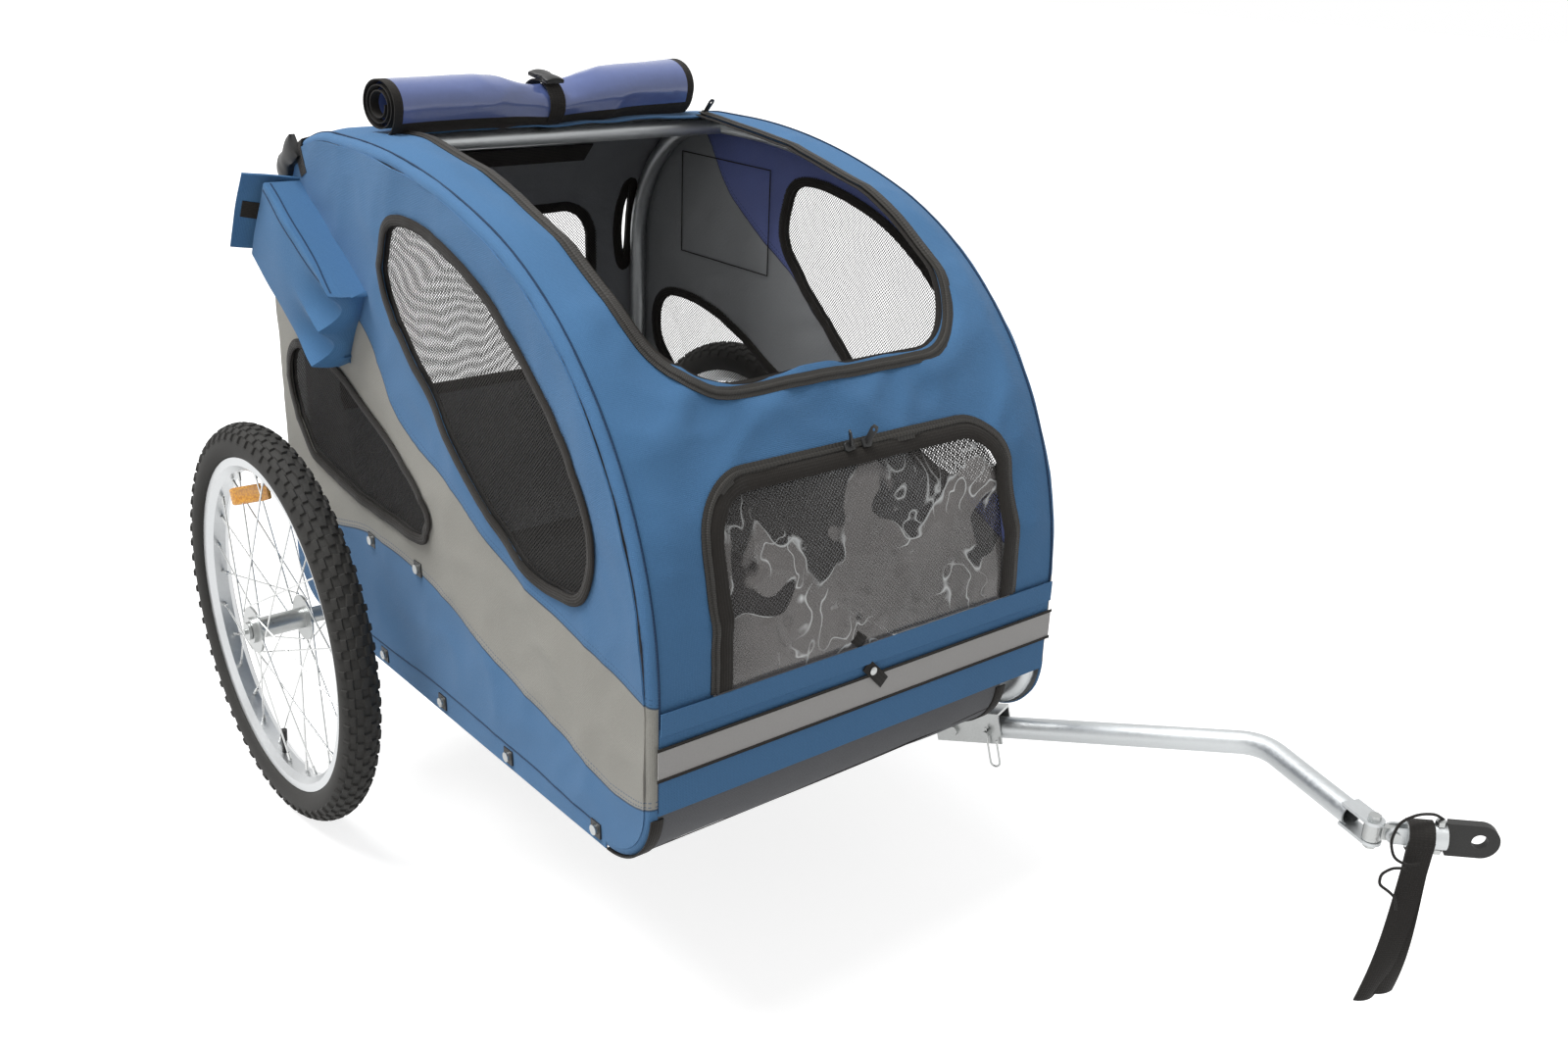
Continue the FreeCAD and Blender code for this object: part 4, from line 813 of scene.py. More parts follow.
def smooth_loop(shares, per=9, grow=0.0):
    """A closed smooth curve through shares of the outline's length and height, as (x, z) in millimetres."""
    spots = OUTLINE_LOW + np.array(shares) * OUTLINE_SIZE
    loop = []
    for at in range(len(spots)):
        a, b, c, d = [spots[(at + step) % len(spots)] for step in (-1, 0, 1, 2)]
        for t in np.arange(per) / per:
            loop.append(0.5 * (2 * b + (c - a) * t + (2 * a - 5 * b + 4 * c - d) * t * t
                               + (3 * b - a - 3 * c + d) * t ** 3))
    loop = np.array(loop)
    if grow:
        heading = unit(np.roll(loop, -1, axis=0) - np.roll(loop, 1, axis=0))
        out = np.stack([heading[:, 1], -heading[:, 0]], axis=-1)
        sign = 1 if np.sum(out * (loop - loop.mean(axis=0))) > 0 else -1
        loop = loop + out * sign * grow
    return loop


# %% Side panels, nets and bindings
WALL, NET_PLANE, HEM_Z, ROLL_R = 278, 275.4, 219, 9.0
PANEL_LOW, PANEL_SIZE = np.array([-152, 217]), np.array([840, 634])
CUT_FROM, CUT_DEEP = 240, 80
CLOTH_THICK, NET_THICK, NET_CELLS = 1.8, 0.3, (40, 40)
panel_loop, _ = on_outline(np.linspace(RUN_START, RUN_END, 260), 0, CLOTH_LIFT - ROLL_R)
panel_loop = np.vstack([[(608, 0, HEM_Z)], panel_loop, [(-73, 0, HEM_Z)]])[:, [0, 2]]


def wall_dents(x, z, sign):
    """How far the cloth of a side wall stands out from its plane."""
    flat = xyz(x, sign * 50.0, z)
    dents = 3.2 * ridges(flat, 0.0055, 3.1) + 2.2 * fold_noise(flat, 0.012, 8.0)
    dents += 1.6 * ridges(flat, 0.017, 4.4)
    calm = np.clip((z - HEM_Z) / 60, 0, 1) * np.clip((x + 150) / 60, 0, 1)
    return np.clip(dents, 0, 5) * calm


def through_wall(loop, sign):
    """What a prism takes to cut a loop of (x, z) through a side wall."""
    return xyz(loop[:, 0], sign * CUT_FROM, loop[:, 1]), (0, sign * CUT_DEEP, 0)


for side, sign in SIDES.items():
    def wall(u, v, sign=sign):
        x, z = (PANEL_LOW + PANEL_SIZE * np.stack([u, v], axis=-1)).T
        return xyz(x, sign * (WALL + wall_dents(x, z, sign)), z)

    windows = [through_wall(smooth_loop(shares), sign) for shares in WINDOWS.values()]
    panel = sewn(f"side_panel_{side}", (98, 74), wall, PANEL_SIZE / 1000, (side_cloth, side_lining),
                 CLOTH_THICK, *BLUE_PART, f"side_cover_{side}", flip=sign > 0,
                 shape=through_wall(panel_loop, sign), holes=windows)
    for name, shares in WINDOWS.items():
        loop = smooth_loop(shares, grow=7)
        low, size = loop.min(axis=0), np.ptp(loop, axis=0)

        def screen(u, v, low=low, size=size, sign=sign):
            x, z = (low + size * np.stack([u, v], axis=-1)).T
            sag = 1.4 * (1 + fold_noise(xyz(x, 9.0, z), 0.01, 4.0)) - wall_dents(x, z, sign)
            return xyz(x, sign * (NET_PLANE - sag), z)

        window = sewn(f"{name}_net_{side}", NET_CELLS, screen, size / 1000, [window_net], NET_THICK, BODY,
                      "mesh_cloth", *([f"side_mesh_{side}"] if name == "front" else []), flip=sign > 0,
                      shape=through_wall(loop, sign))
        x, z = smooth_loop(shares, per=12).T
        edge = xyz(x, sign * WALL + sign * (1.2 + wall_dents(x, z, sign)), z)
        out = np.tile([0, sign, 0.0], (len(edge), 1))
        for layer, (depth, facing) in {"outer": (0.6, 1), "inner": (-4.6, -1)}.items():
            trim(f"{name}_binding_{layer}_{side}", edge + out * depth, out * facing,
                 scaled(TAPE, 0.72, 1.5), binding, *DARK, closed=True)

# %% Rolled edges and their seams
for side, sign in SIDES.items():
    def edge_roll(u, v, sign=sign):
        run, angle = u * travelled, v * math.pi / 2
        flat = xyz(run, 0.0, v * 20)
        bulge = ROLL_R + 0.7 * fold_noise(flat, 0.02, 5.0 + sign) + 0.5 * fold_noise(flat, 0.06, 2.0)
        return on_outline(run, sign * (WALL - ROLL_R + bulge * np.cos(angle)),
                          CLOTH_LIFT - ROLL_R + bulge * np.sin(angle))[0]

    strip = sewn(f"edge_roll_{side}", (300, 7), edge_roll, (travelled / 1000, 0.0142),
                 (side_cloth, side_lining), 1.4, *BLUE_PART, flip=sign < 0, angle=60)
    spine, out = on_outline(np.linspace(FOOT_TOP, REAR_TOP, 260), sign * (WALL - ROLL_R - 0.6), 15.9)
    trim(f"edge_seam_{side}", spine, out, SEAM, seam_thread, *BLUE_PART, angle=None)
    hem_x = np.linspace(-70, 596, 120)
    hem_z = 240 + 10 * np.sin(np.linspace(0, math.pi, 120))
    spine = xyz(hem_x, sign * (WALL + 0.2 + wall_dents(hem_x, hem_z, sign)), hem_z)
    trim(f"hem_seam_{side}", spine, np.tile([0, sign, 0.0], (120, 1)), SEAM, seam_thread, *BLUE_PART,
         angle=None)

# %% [markdown]
# ## Canopy
# The canopy is one blue sheet from the front band over the bow to the roof, with the door way and the large
# roof mouth cut out. Cloth that is pulled over a bow creases from the corners, so the sheet gets soft
# creases outwards, never inwards, where the tube lies. The mouth and the door way are edged by black zips.

# %% Canopy sheet with its openings
HALF, SHEET_LIFT, ROOF_SEAM_X = WALL - ROLL_R, 14.4, 88
ZIP_LIFT, FRAME_LIFT = 14.9, 15.2
CANOPY_FOLDS = {"seed": 6.0, "height": 5.6}


def arch_line(half, low, high, radius, steps=14):
    """An open line up one side, round two corners and down the other side, as (across, up)."""
    line = [(-half, value) for value in np.linspace(low, high - radius, 24)]
    for centre, begin in ((radius - half, 180), (half - radius, 90)):
        turns = np.radians(np.linspace(begin, begin - 90, steps + 2)[1:-1])
        line += [(centre + radius * math.cos(turn), high - radius + radius * math.sin(turn))
                 for turn in turns]
        if begin == 180:
            line += [(value, high) for value in np.linspace(radius - half, half - radius, 24)]
    line += [(half, value) for value in np.linspace(high - radius, low, 24)]
    return np.array(line)


def through_front(line, x=560, deep=200):
    """What a prism takes to cut a line of (across, up) through the front or the rear."""
    return xyz(float(x), line[:, 0], line[:, 1]), (deep, 0, 0)


def creases(points, across, seed, height):
    """Soft creases that fade towards the sewn side edges."""
    tall = points * np.array([0.55, 1.0, 1.0])
    amount = height * ridges(tall, 0.0062, seed)
    amount += 0.7 * height * ridges(tall[:, [2, 0, 1]], 0.0105, seed + 3)
    amount += 0.5 * height * fold_noise(tall, 0.016, seed + 5)
    amount += 0.4 * height * ridges(points * np.array([0.4, 0.8, 1.0]), 0.019, seed + 9)
    calm = np.clip((HALF - np.abs(across)) / 25, 0, 1) * np.clip((points[:, 2] - 396) / 70, 0, 1)
    return np.clip(amount, 0, 1.5 * height) * calm


def creased(run, across, grow, folds=CANOPY_FOLDS):
    """Places on a creased sheet over the bows or on its edges."""
    points, _ = on_outline(run, across, SHEET_LIFT)
    return on_outline(run, across, grow + creases(points, across, **folds))


def bow_sheet(name, columns, low, high, cloth, holes, folds, *mounting):
    """A creased sheet over both bows, between two places along the outline."""
    def rule(u, v):
        return creased(low + (high - low) * u, HALF * (2 * v - 1), SHEET_LIFT, folds)[0]

    size = ((high - low) / 1000, 2 * HALF / 1000)
    piece = sewn(name, (columns, 72), rule, size, (cloth, lining_cloth), CLOTH_THICK, BODY, *mounting,
                 flip=True, holes=holes)


door_way, mouth = arch_line(206, 394, 602, 62), arch_line(208, 60, 592, 84)
roof_cut = xyz(mouth[:, 1], mouth[:, 0], 520.0), (0, 0, 420)
bow_sheet("canopy", 130, float(run_at_front(384)), float(run_at_roof(ROOF_SEAM_X)), blue_cloth,
          [through_front(door_way), roof_cut], CANOPY_FOLDS, "blue_cloth", "front_cover", "roof_strips")

# %% Zip round the roof mouth
across, x = arch_line(211, ROOF_SEAM_X, 595, 84).T
spine, out = creased(run_at_roof(x), across, ZIP_LIFT)
trim("mouth_zip", spine, out, scaled(ZIP, 0.8), zip_teeth, *DARK)
across, x = arch_line(208, ROOF_SEAM_X, 592, 84).T
spine, out = creased(run_at_roof(x), across, 12.6)
trim("mouth_hem", spine, -out, TAPE, binding, *DARK)

# %% [markdown]
# ## Front door
# The door is a clear vinyl window with a black net behind it, held in a wide dark tape with a zip round it.
# Soft vinyl never lies flat: it has smooth rolling dents, and the bright curls on it are painted highlights
# in its finish. The dents are made in the mesh by warped noise, because reflections in a bump map alone
# look thin from the side.

# %% Vinyl window, net and frame of the door
PANE_LOW, PANE_HIGH, PANE_HALF, PANE_HEM = 398, 194, 196, 25
pane_cut = through_front(arch_line(190, 402, 586, 46))


def pane_lift(z, across):
    """How high the clear window stands above the tube."""
    flat = xyz(z, across, 0.0)
    warp = 26 * xyz(fold_noise(flat, 0.02, 1.0), fold_noise(flat, 0.02, 5.0), 0.0)
    dents = 3.0 * fold_noise(flat + warp, 0.021, 2.5) + 1.5 * fold_noise(flat + warp, 0.047, 7.5)
    calm = np.clip((190 - np.abs(across)) / 30, 0, 1) * np.clip((z - 404) / PANE_HEM, 0, 1)
    return FRAME_LIFT + (2.4 + dents) * calm * np.clip((590 - z) / PANE_HEM, 0, 1)


def net_lift(z, across):
    return 12.9


for name, cells, height, material, wall, angle, slot, node in (
        ("door_pane", (110, 200), pane_lift, clear_vinyl, 0.5, 80, "clear_vinyl", "door_window"),
        ("door_net", NET_CELLS, net_lift, door_net, NET_THICK, 35, "mesh_cloth", "door_mesh")):
    def door_rule(u, v, height=height):
        z, across = PANE_LOW + PANE_HIGH * u, PANE_HALF * (2 * v - 1)
        return on_outline(run_at_front(z), across, height(z, across))[0]

    piece = sewn(name, cells, door_rule, (0.19, 0.392), [material], wall, "front_door", slot, node,
                 flip=True, shape=pane_cut, angle=angle)
across, z = arch_line(203, 404, 599, 59).T
spine, out = creased(run_at_front(z), across, ZIP_LIFT)
trim("door_zip", spine, out, scaled(ZIP, 0.8), zip_teeth, "front_door", "dark_binding")
across, z = arch_line(193, 404, 589, 49).T
spine, out = creased(run_at_front(z), across, FRAME_LIFT)
trim("door_frame_tape", spine, out, scaled(TAPE, 1.0, 1.6), binding, "front_door", "dark_binding",
     "door_binding")

# %% [markdown]
# ## Front band, reflective tape and apron
# Below the door a doubled blue band carries a silver reflective tape with thin black edges. Under it a
# charcoal apron wraps the bent feet of the bows. These are narrow sheets on the outline; the folded upper
# edge of the band is a strip of its own.

# %% Band, tape and apron
APRON_LEFT, LIP_X = HALF - 66, 686


def wrapped(name, box, grow, wall, materials, *mounting, cells=(14, 90), waves=0.0):
    """A sheet in a box on the outline: two places along it and two places across."""
    low, high, left, right = box

    def rule(u, v):
        run, across = low + (high - low) * u, left + (right - left) * v
        points, _ = on_outline(run, across, grow)
        lift = waves * np.clip(fold_noise(points * np.array([1, 1, 0.4]), 0.014, 3.0), 0, 1)
        return on_outline(run, across, grow + lift)[0]

    return sewn(name, cells, rule, ((high - low) / 1000, (right - left) / 1000), materials, wall,
                *mounting, flip=True)


def front_box(low_z, high_z, half=HALF):
    return float(run_at_front(low_z)), float(run_at_front(high_z)), -half, half


band_box, lip_box = front_box(293, 386), front_box(380, 403)
band = wrapped("front_band_cloth", band_box, 16.6, 2.0, [blue_cloth, lining_cloth], *BLUE_PART,
               "front_band", waves=0.8)
band_lip = wrapped("band_lip", lip_box, 19.6, 1.4, [blue_cloth], cells=(12, 90), waves=1.2)
tuple(metres((LIP_X, 0, 386)))
tuple(metres((LIP_X, 0, 402)))
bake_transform(band_lip)
wrapped("reflective_tape", front_box(334, 365, HALF + 3), 19.0, 0.8, [silver_tape], BODY, "silver_tape",
        "reflective_strip", cells=(6, 90))
for name, z in (("low", 333), ("high", 366)):
    spine, out = on_outline(run_at_front(z), np.linspace(-HALF - 4, HALF + 4, 60), 18.7)
    trim(f"tape_edge_{name}", spine, out, scaled(TAPE, 0.2, 0.9), binding, *DARK, angle=None)
apron_box = (RUN_START + 2, FOOT_TOP + 6, -HALF, APRON_LEFT)
apron = wrapped("apron_cloth", apron_box, 14.2, CLOTH_THICK, [charcoal_cloth, lining_cloth], BODY,
                "charcoal_cloth", "front_apron", waves=2.5)
for side, across in (("right", -HALF - 1), ("left", APRON_LEFT)):
    spine, out = on_outline(np.linspace(RUN_START, FOOT_TOP - 6, 40), across, 14.6)
    trim(f"apron_binding_{side}", spine, out, scaled(TAPE, 0.9, 1.6), binding, *DARK)
across = np.linspace(-HALF, APRON_LEFT, 80)
spine, out = on_outline(RUN_START + 40 + 26 * ((across + HALF) / 470) ** 2, across, 14.9)
trim("apron_seam", spine, out, flat_band(1.0, -0.5, 0.5), binding, BODY, "charcoal_cloth", angle=None)

# %% [markdown]
# ## Rear cover
# The rear is a grey sheet from the roof's rear edge down to the feet, blue over the roof, with a net window
# and dark binding. At the left upright its edge is slit and bound, so that light shows beside the tube.

# %% Rear sheet, window and slit
REAR_FOLDS = {"seed": 11.0, "height": 3.0}
REAR_SEAM = [(WAVE_X[0], 858), (-69, 850), (-63, 210), (WAVE_X[1], 202)]
rear_cloth = two_tone("rear_cloth", BLUE, GREY, BLUE, [REAR_SEAM])
rear_arch = arch_line(192, 470, 705, 55)
slit = np.array([(246 + 11 * math.cos(turn), 672 + 62 * math.sin(turn))
                 for turn in np.linspace(0, 2 * math.pi, 40)[:-1]])
bow_sheet("rear_sheet", 110, float(run_at_roof(ROOF_SEAM_X)), RUN_END, rear_cloth,
          [through_front(rear_arch, -60, -140), through_front(slit, -40, -160)], REAR_FOLDS, "grey_cloth",
          "rear_cover")


def rear_net_rule(u, v):
    return on_outline(run_at_rear(462 + 251 * u), 200 * (2 * v - 1), 11.6)[0]


rear_net = sewn("rear_net", NET_CELLS, rear_net_rule, (0.251, 0.4), [window_net], NET_THICK, BODY,
                "mesh_cloth", "rear_mesh", shape=through_front(arch_line(199, 463, 712, 61), -60, -140))
rear_ring = np.vstack([rear_arch, [(value, 470) for value in np.linspace(192, -192, 30)[1:-1]]])
for name, loop in (("window", rear_ring), ("slit", slit)):
    for layer, grow, facing in (("outer", 14.6, 1), ("inner", 12.4, -1)):
        spine, out = creased(run_at_rear(loop[:, 1]), loop[:, 0], grow, REAR_FOLDS)
        trim(f"rear_{name}_binding_{layer}", spine, out * facing, scaled(TAPE, 0.9, 1.3), binding, *DARK,
             closed=True)
spine, out = on_outline(ROOF_END + 150, np.linspace(-120, 150, 40), 12.2)
trim("rear_inner_strip", spine, -out, scaled(TAPE, 2.2, 1.0), binding, *DARK, angle=None)

# %% [markdown]
# ## Rolled rain cover
# The rain cover is a sheet of coated vinyl, rolled up on the roof and tied once in the middle. One grid is
# wound into a spiral; the tie squeezes it, and creases run out from there. Its hems are bound in dark tape,
# which is simply the outermost faces of the same grid with another finish.

# %% Vinyl roll, its strap and a clasp
ROLL_AT, ROLL_TURN = np.array([65.98, -16.0, 885.2]), math.radians(8)
ROLL_LONG, ROLL_FULL, TIE_AT = 446, 34, 6.0
roll_axes = np.array([[math.cos(ROLL_TURN), math.sin(ROLL_TURN), 0],
                      [-math.sin(ROLL_TURN), math.cos(ROLL_TURN), 0], [0, 0, 1]])


def squeeze(length):
    """How full the roll is along its length: tied in the middle, fullest at the left end."""
    waist = 0.27 * np.exp(-((length - TIE_AT) / 62) ** 2)
    return 0.98 - waist + 0.10 * np.clip(length / (ROLL_LONG / 2), 0, 1) ** 1.5


def roll_rule(u, v):
    length = ROLL_LONG * u - ROLL_LONG / 2
    turn = 2 * math.pi * 3.2 * v - math.radians(64)
    flat = xyz(length, 30 * np.cos(turn), 30 * np.sin(turn))
    spread = np.exp(-((length - TIE_AT) / 95) ** 2)
    dents = 4.6 * ridges(flat * np.array([0.5, 1.2, 1.2]), 0.026, 4.0) * spread
    dents += 1.8 * fold_noise(flat * np.array([0.4, 1, 1]), 0.03, 9.0) * (0.5 + spread)
    radius = (ROLL_FULL - 21 * v) * squeeze(length) + (dents - 1.5) * (1 - 0.85 * v)
    radius += 4 * np.clip(1 - v / 0.04, 0, 1)
    lift = ROLL_FULL * (squeeze(length) - 1) - 2
    return ROLL_AT + xyz(radius * np.cos(turn) * 1.04, length,
                         radius * np.sin(turn) * 0.97 + lift) @ roll_axes


def paint_hem(piece, long, wide):
    """Give the faces near both ends and the outer edge of a grid its second finish, by their UV map."""
    uv = piece.data.uv_layers[0].data
    for face in piece.data.polygons:
        along, around = np.mean([uv[corner].uv for corner in face.loop_indices], axis=0)
        if min(along, long - along, around) < wide:
            face.material_index = 1


roll = grid_sheet("rolled_cover", (120, 150), roll_rule, (ROLL_LONG / 1000, 0.5))
dress(roll, navy_vinyl, binding)
paint_hem(roll, ROLL_LONG / 1000, 0.012)
thicken(roll, 1.3)
soften(roll, 60)
mount(roll, BODY, "navy_vinyl", "roof_roll")
turns = np.linspace(0, 2 * math.pi, 64)[:-1]
TIE_R, TIE_DROP = ROLL_FULL * 0.7 + 3.4, -11.5
tie_local = xyz(TIE_R * np.cos(turns) * 1.04, TIE_AT, TIE_R * np.sin(turns) + TIE_DROP)
trim("roll_tie", ROLL_AT + tie_local @ roll_axes, xyz(np.cos(turns), 0.0, np.sin(turns)) @ roll_axes,
     flat_band(11, -0.8, 0.8), webbing, BODY, "black_webbing", "roll_strap", closed=True)


def cube(name):
    deselect()
    bpy.ops.mesh.primitive_cube_add(size=1)
    piece = bpy.context.object
    piece.name = piece.data.name = name
    return piece


def clasp(name, axes, at, length, width, wall, *nodes):
    """A side-release buckle: crowned shell, waisted sides and a groove between its halves."""
    piece = cube(name)
    edit(piece)
    bpy.ops.mesh.subdivide(number_cuts=11)
    close_edit()
    x, y, z = points_of(piece).T
    waist = 1 - 0.30 * np.exp(-((x - 0.04) / 0.15) ** 2)
    crown = 1 - 0.35 * (2 * y) ** 2 - 0.18 * (2 * x) ** 4
    crown -= 0.16 * np.exp(-((x + 0.14) / 0.03) ** 2)
    local = xyz(x * length, y * width * waist, (z + 0.5) * wall * np.where(z > 0, crown, 1.0))
    place(piece, at + local @ axes)
    modify(piece, "BEVEL", width=0.0009, segments=2, limit_method="ANGLE")
    complete(piece, black_plastic, 40, BODY, "black_plastic", *nodes)


tilt, lean = math.radians(12), math.radians(42)
axes = np.array([[math.cos(tilt), 0, -math.sin(tilt)], [0, 1, 0],
                 [math.sin(tilt), 0, math.cos(tilt)]]) @ roll_axes
clasp("roll_clasp", axes, ROLL_AT + [-1, TIE_AT, TIE_DROP] + axes[2] * (TIE_R + 0.9), 36, 26, 8,
      "roll_buckle")
STRAP_RUN = ROOF_END + 189.98 * math.radians(24.5)
STRAP_STOPS = np.array([(244, 16.2), (266, 16.6), (277, 14.5), (280.6, 6), (281, -8), (281, -24)])
for side, sign in SIDES.items():
    along, facing = np.array([math.cos(lean), 0, math.sin(lean)]), np.array([0, sign, 0])
    clasp(f"corner_clasp_{side}", np.array([along, np.cross(facing, along), facing]),
          np.array([-49.9, sign * 278.4, 808.0]), 56, 30, 14,
          *(["corner_buckles"] if side == "right" else []))
    across, grow = [np.interp(np.linspace(0, 5, 26), range(6), column) for column in STRAP_STOPS.T]
    line, out = on_outline(STRAP_RUN, sign * across, grow)
    over = np.clip((across - 266) / 14, 0, 1)[:, None]
    line += 1.2 * fold_noise(line, 0.06, 2.0)[:, None] * out
    trim(f"corner_strap_{side}", line, out * (1 - over) + facing * over, flat_band(9, -0.7, 0.7), webbing,
         BODY, "black_webbing", angle=60)

# %% [markdown]
# ## Side pocket
# A pouch hangs on the right wall behind the front window, with a pleated gusset underneath and a flap that
# stands open at its upper end. It is a lofted shell: one folded cross-section is carried along the pouch,
# bulged in the middle, and drawn to the wall at the closed end.

# %% Pouch and flap
POUCH_AT, POUCH_LONG, POUCH_HIGH = np.array([-27.94, -278.3, 787.8]), 188, 112
slope, flap_turn = math.radians(32), math.radians(76)
POUCH_DIR = np.array([math.cos(slope), 0, -math.sin(slope)])
POUCH_UP = np.array([math.sin(slope), 0, math.cos(slope)])
POUCH_OUT = np.array([0, -1.0, 0])
POUCH_AXES = np.array([POUCH_DIR, POUCH_UP, POUCH_OUT])
FOLD = np.array([(0.5, -2), (45, -1), (46, -3), (46, -110), (44, -112), (24, -97), (22, -97), (0.5, -112)])
fold_reach = lengths_along(FOLD)


def pouch_rule(u, v):
    deep, high = [np.interp(v * fold_reach[-1], fold_reach, column) for column in FOLD.T]
    close = np.clip((u - 0.9) / 0.1, 0, 1)
    along = POUCH_LONG * np.minimum(u / 0.9, 1) + 5 * np.sin(math.pi * close)
    creasing = 1.4 * fold_noise(xyz(along, deep, high), 0.02, 6.0)
    level = np.clip(-high / POUCH_HIGH, 0, 1)
    belly = 4.5 * np.sin(math.pi * np.clip(along / POUCH_LONG, 0, 1)) * np.sin(math.pi * level)
    deep = deep * (1 - 0.12 * (along / POUCH_LONG) ** 2) + belly * (deep > 40) + creasing * (deep > 4)
    end = np.exp(-((along - 190) / 42) ** 2) * (deep > 30)
    deep = deep + end * (9 - 24 * np.abs(np.sin(2 * math.pi * level)))
    deep = np.maximum(deep * (1 - close), 0.4)
    return POUCH_AT + xyz(along, high, deep) @ POUCH_AXES


pouch = grid_sheet("pocket_pouch", (60, 72), pouch_rule, (0.2, fold_reach[-1] / 1000), flip=True)
weld(pouch, 0.0002, turn_out=False)
dress(pouch, blue_cloth)
thicken(pouch, 1.6)
soften(pouch, 45)
mount(pouch, *BLUE_PART, "side_pocket")
FLAP_AT = POUCH_AT - POUCH_DIR * 3.6 - POUCH_UP * POUCH_HIGH
FLAP_DIR = -POUCH_DIR * math.cos(flap_turn) + POUCH_OUT * math.sin(flap_turn)
FLAP_THICK = np.cross(FLAP_DIR, POUCH_UP)


def flap_rule(u, v):
    reach, high = 66 * u, POUCH_HIGH * v
    cup = 5 * np.sin(math.pi * v) * u + 2.0 * fold_noise(xyz(reach, high, 0.0), 0.025, 3.0) * u
    return FLAP_AT + xyz(reach, high, cup) @ np.array([FLAP_DIR, POUCH_UP, FLAP_THICK])


flap = sewn("pocket_flap_cloth", (24, 36), flap_rule, (0.066, 0.112), [blue_cloth], 2.2, "pocket_flap",
            "blue_cloth", "pocket_flap", angle=50)
patch = flap_rule(np.linspace(0.12, 0.9, 12), np.full(12, 0.5)) - FLAP_THICK * 2.6
trim("flap_grip_patch", patch, np.tile(-FLAP_THICK, (12, 1)), flat_band(12, 0, 1), binding, "pocket_flap",
     "dark_binding", angle=None)
for name, at, out in (("pouch_hem_top", 38.0, POUCH_UP), ("pouch_hem_side", 54.0, POUCH_OUT)):
    hem = pouch_rule(np.linspace(0.01, 0.88, 50), np.full(50, at / fold_reach[-1])) + out * 0.1
    trim(name, hem, np.tile(out, (50, 1)), flat_band(0.8, -0.5, 0.5), seam_thread, *BLUE_PART, angle=None)

# %% [markdown]
# ## Tyres
# Off-road tyres have rows of rubber blocks. The carcass starts as a torus, pressed flat where it sits in
# the rim. One block is modelled, with a tapered bevelled top, and copied round the tread in seven staggered
# rows.

# %% Carcass and knobs


def edit_faces(piece, chosen):
    """Open a piece in edit mode with only some of its faces selected."""
    edit(piece)
    bpy.ops.mesh.select_mode(type="FACE")
    bpy.ops.mesh.select_all(action="DESELECT")
    close_edit()
    for face in piece.data.polygons:
        face.select = chosen(face)
    bpy.ops.object.mode_set(mode="EDIT")


knob = cube("knob")
edit_faces(knob, lambda face: face.normal.z > 0.9)
bpy.ops.transform.resize(value=(0.80, 0.78, 1))
bpy.ops.mesh.inset(thickness=0.10, depth=0.08)
close_edit()
knob_points = points_of(knob)
knob_faces = [tuple(face.vertices) for face in knob.data.polygons if face.normal.z > -0.9]
bpy.data.objects.remove(knob)
TYRE_R, CASE_R, SEAT_R, TRACK, PITCHES, SKEW = 228.0, 22.5, 212.6, 364.0, 66, 10
KNOB_ROWS = [(0, 0.0, 15, 9), (20, 0.5, 13, 8), (-20, 0.5, 13, 8), (41, 0.0, 14, 8), (-41, 0.0, 14, 8),
             (62, 0.5, 9, 10), (-62, 0.5, 9, 10)]
for side, sign in SIDES.items():
    deselect()
    bpy.ops.mesh.primitive_torus_add(major_segments=132, minor_segments=28, major_radius=TYRE_R,
                                     minor_radius=CASE_R)
    carcass = bpy.context.object
    x, y, z = points_of(carcass).T
    turn, radius = np.arctan2(y, x), np.maximum(np.hypot(x, y), SEAT_R)
    points = [xyz(radius * np.cos(turn), z, radius * np.sin(turn))]
    faces = [tuple(face.vertices) for face in carcass.data.polygons]
    bpy.data.objects.remove(carcass)
    used = len(points[0])
    for lean, stagger, long, wide in KNOB_ROWS:
        tip = math.radians(lean)
        for at in range(PITCHES):
            around = 2 * math.pi * (at + stagger) / PITCHES
            skew = math.radians((SKEW if at % 2 else -SKEW) if lean == 0 else 0)
            a, b, c = (knob_points * np.array([long, wide, 3.2])).T
            ahead, beside = a * math.cos(skew) - b * math.sin(skew), a * math.sin(skew) + b * math.cos(skew)
            height = CASE_R + c + 0.6
            reach = TYRE_R + height * math.cos(tip) - beside * math.sin(tip)
            bend = around + ahead / reach
            points.append(xyz(reach * np.cos(bend), height * math.sin(tip) + beside * math.cos(tip),
                              reach * np.sin(bend)))
            faces += [tuple(used + corner for corner in face) for face in knob_faces]
            used += len(knob_points)
    mesh = bpy.data.meshes.new(f"knobby_tyre_{side}")
    mesh.from_pydata(metres(np.vstack(points) + np.array([0, sign * TRACK, AXLE_Z])).tolist(), [], faces)
    tyre = bpy.data.objects.new(f"knobby_tyre_{side}", mesh)
    scene.collection.objects.link(tyre)
    weld(tyre, 0.00001)
    complete(tyre, tyre_rubber, 40, f"{side}_wheel", "tyre_rubber", f"tyre_{side}")

# %% [markdown]
# ## Spoke reflectors
# A clear amber plate with bevelled edges clips between two spokes. The CAD plate's box gives its middle;
# its long side lies across the radius of the wheel, turned as the crossing spokes hold it. The bevel and a
# shallow inset give the moulded rim that catches light.

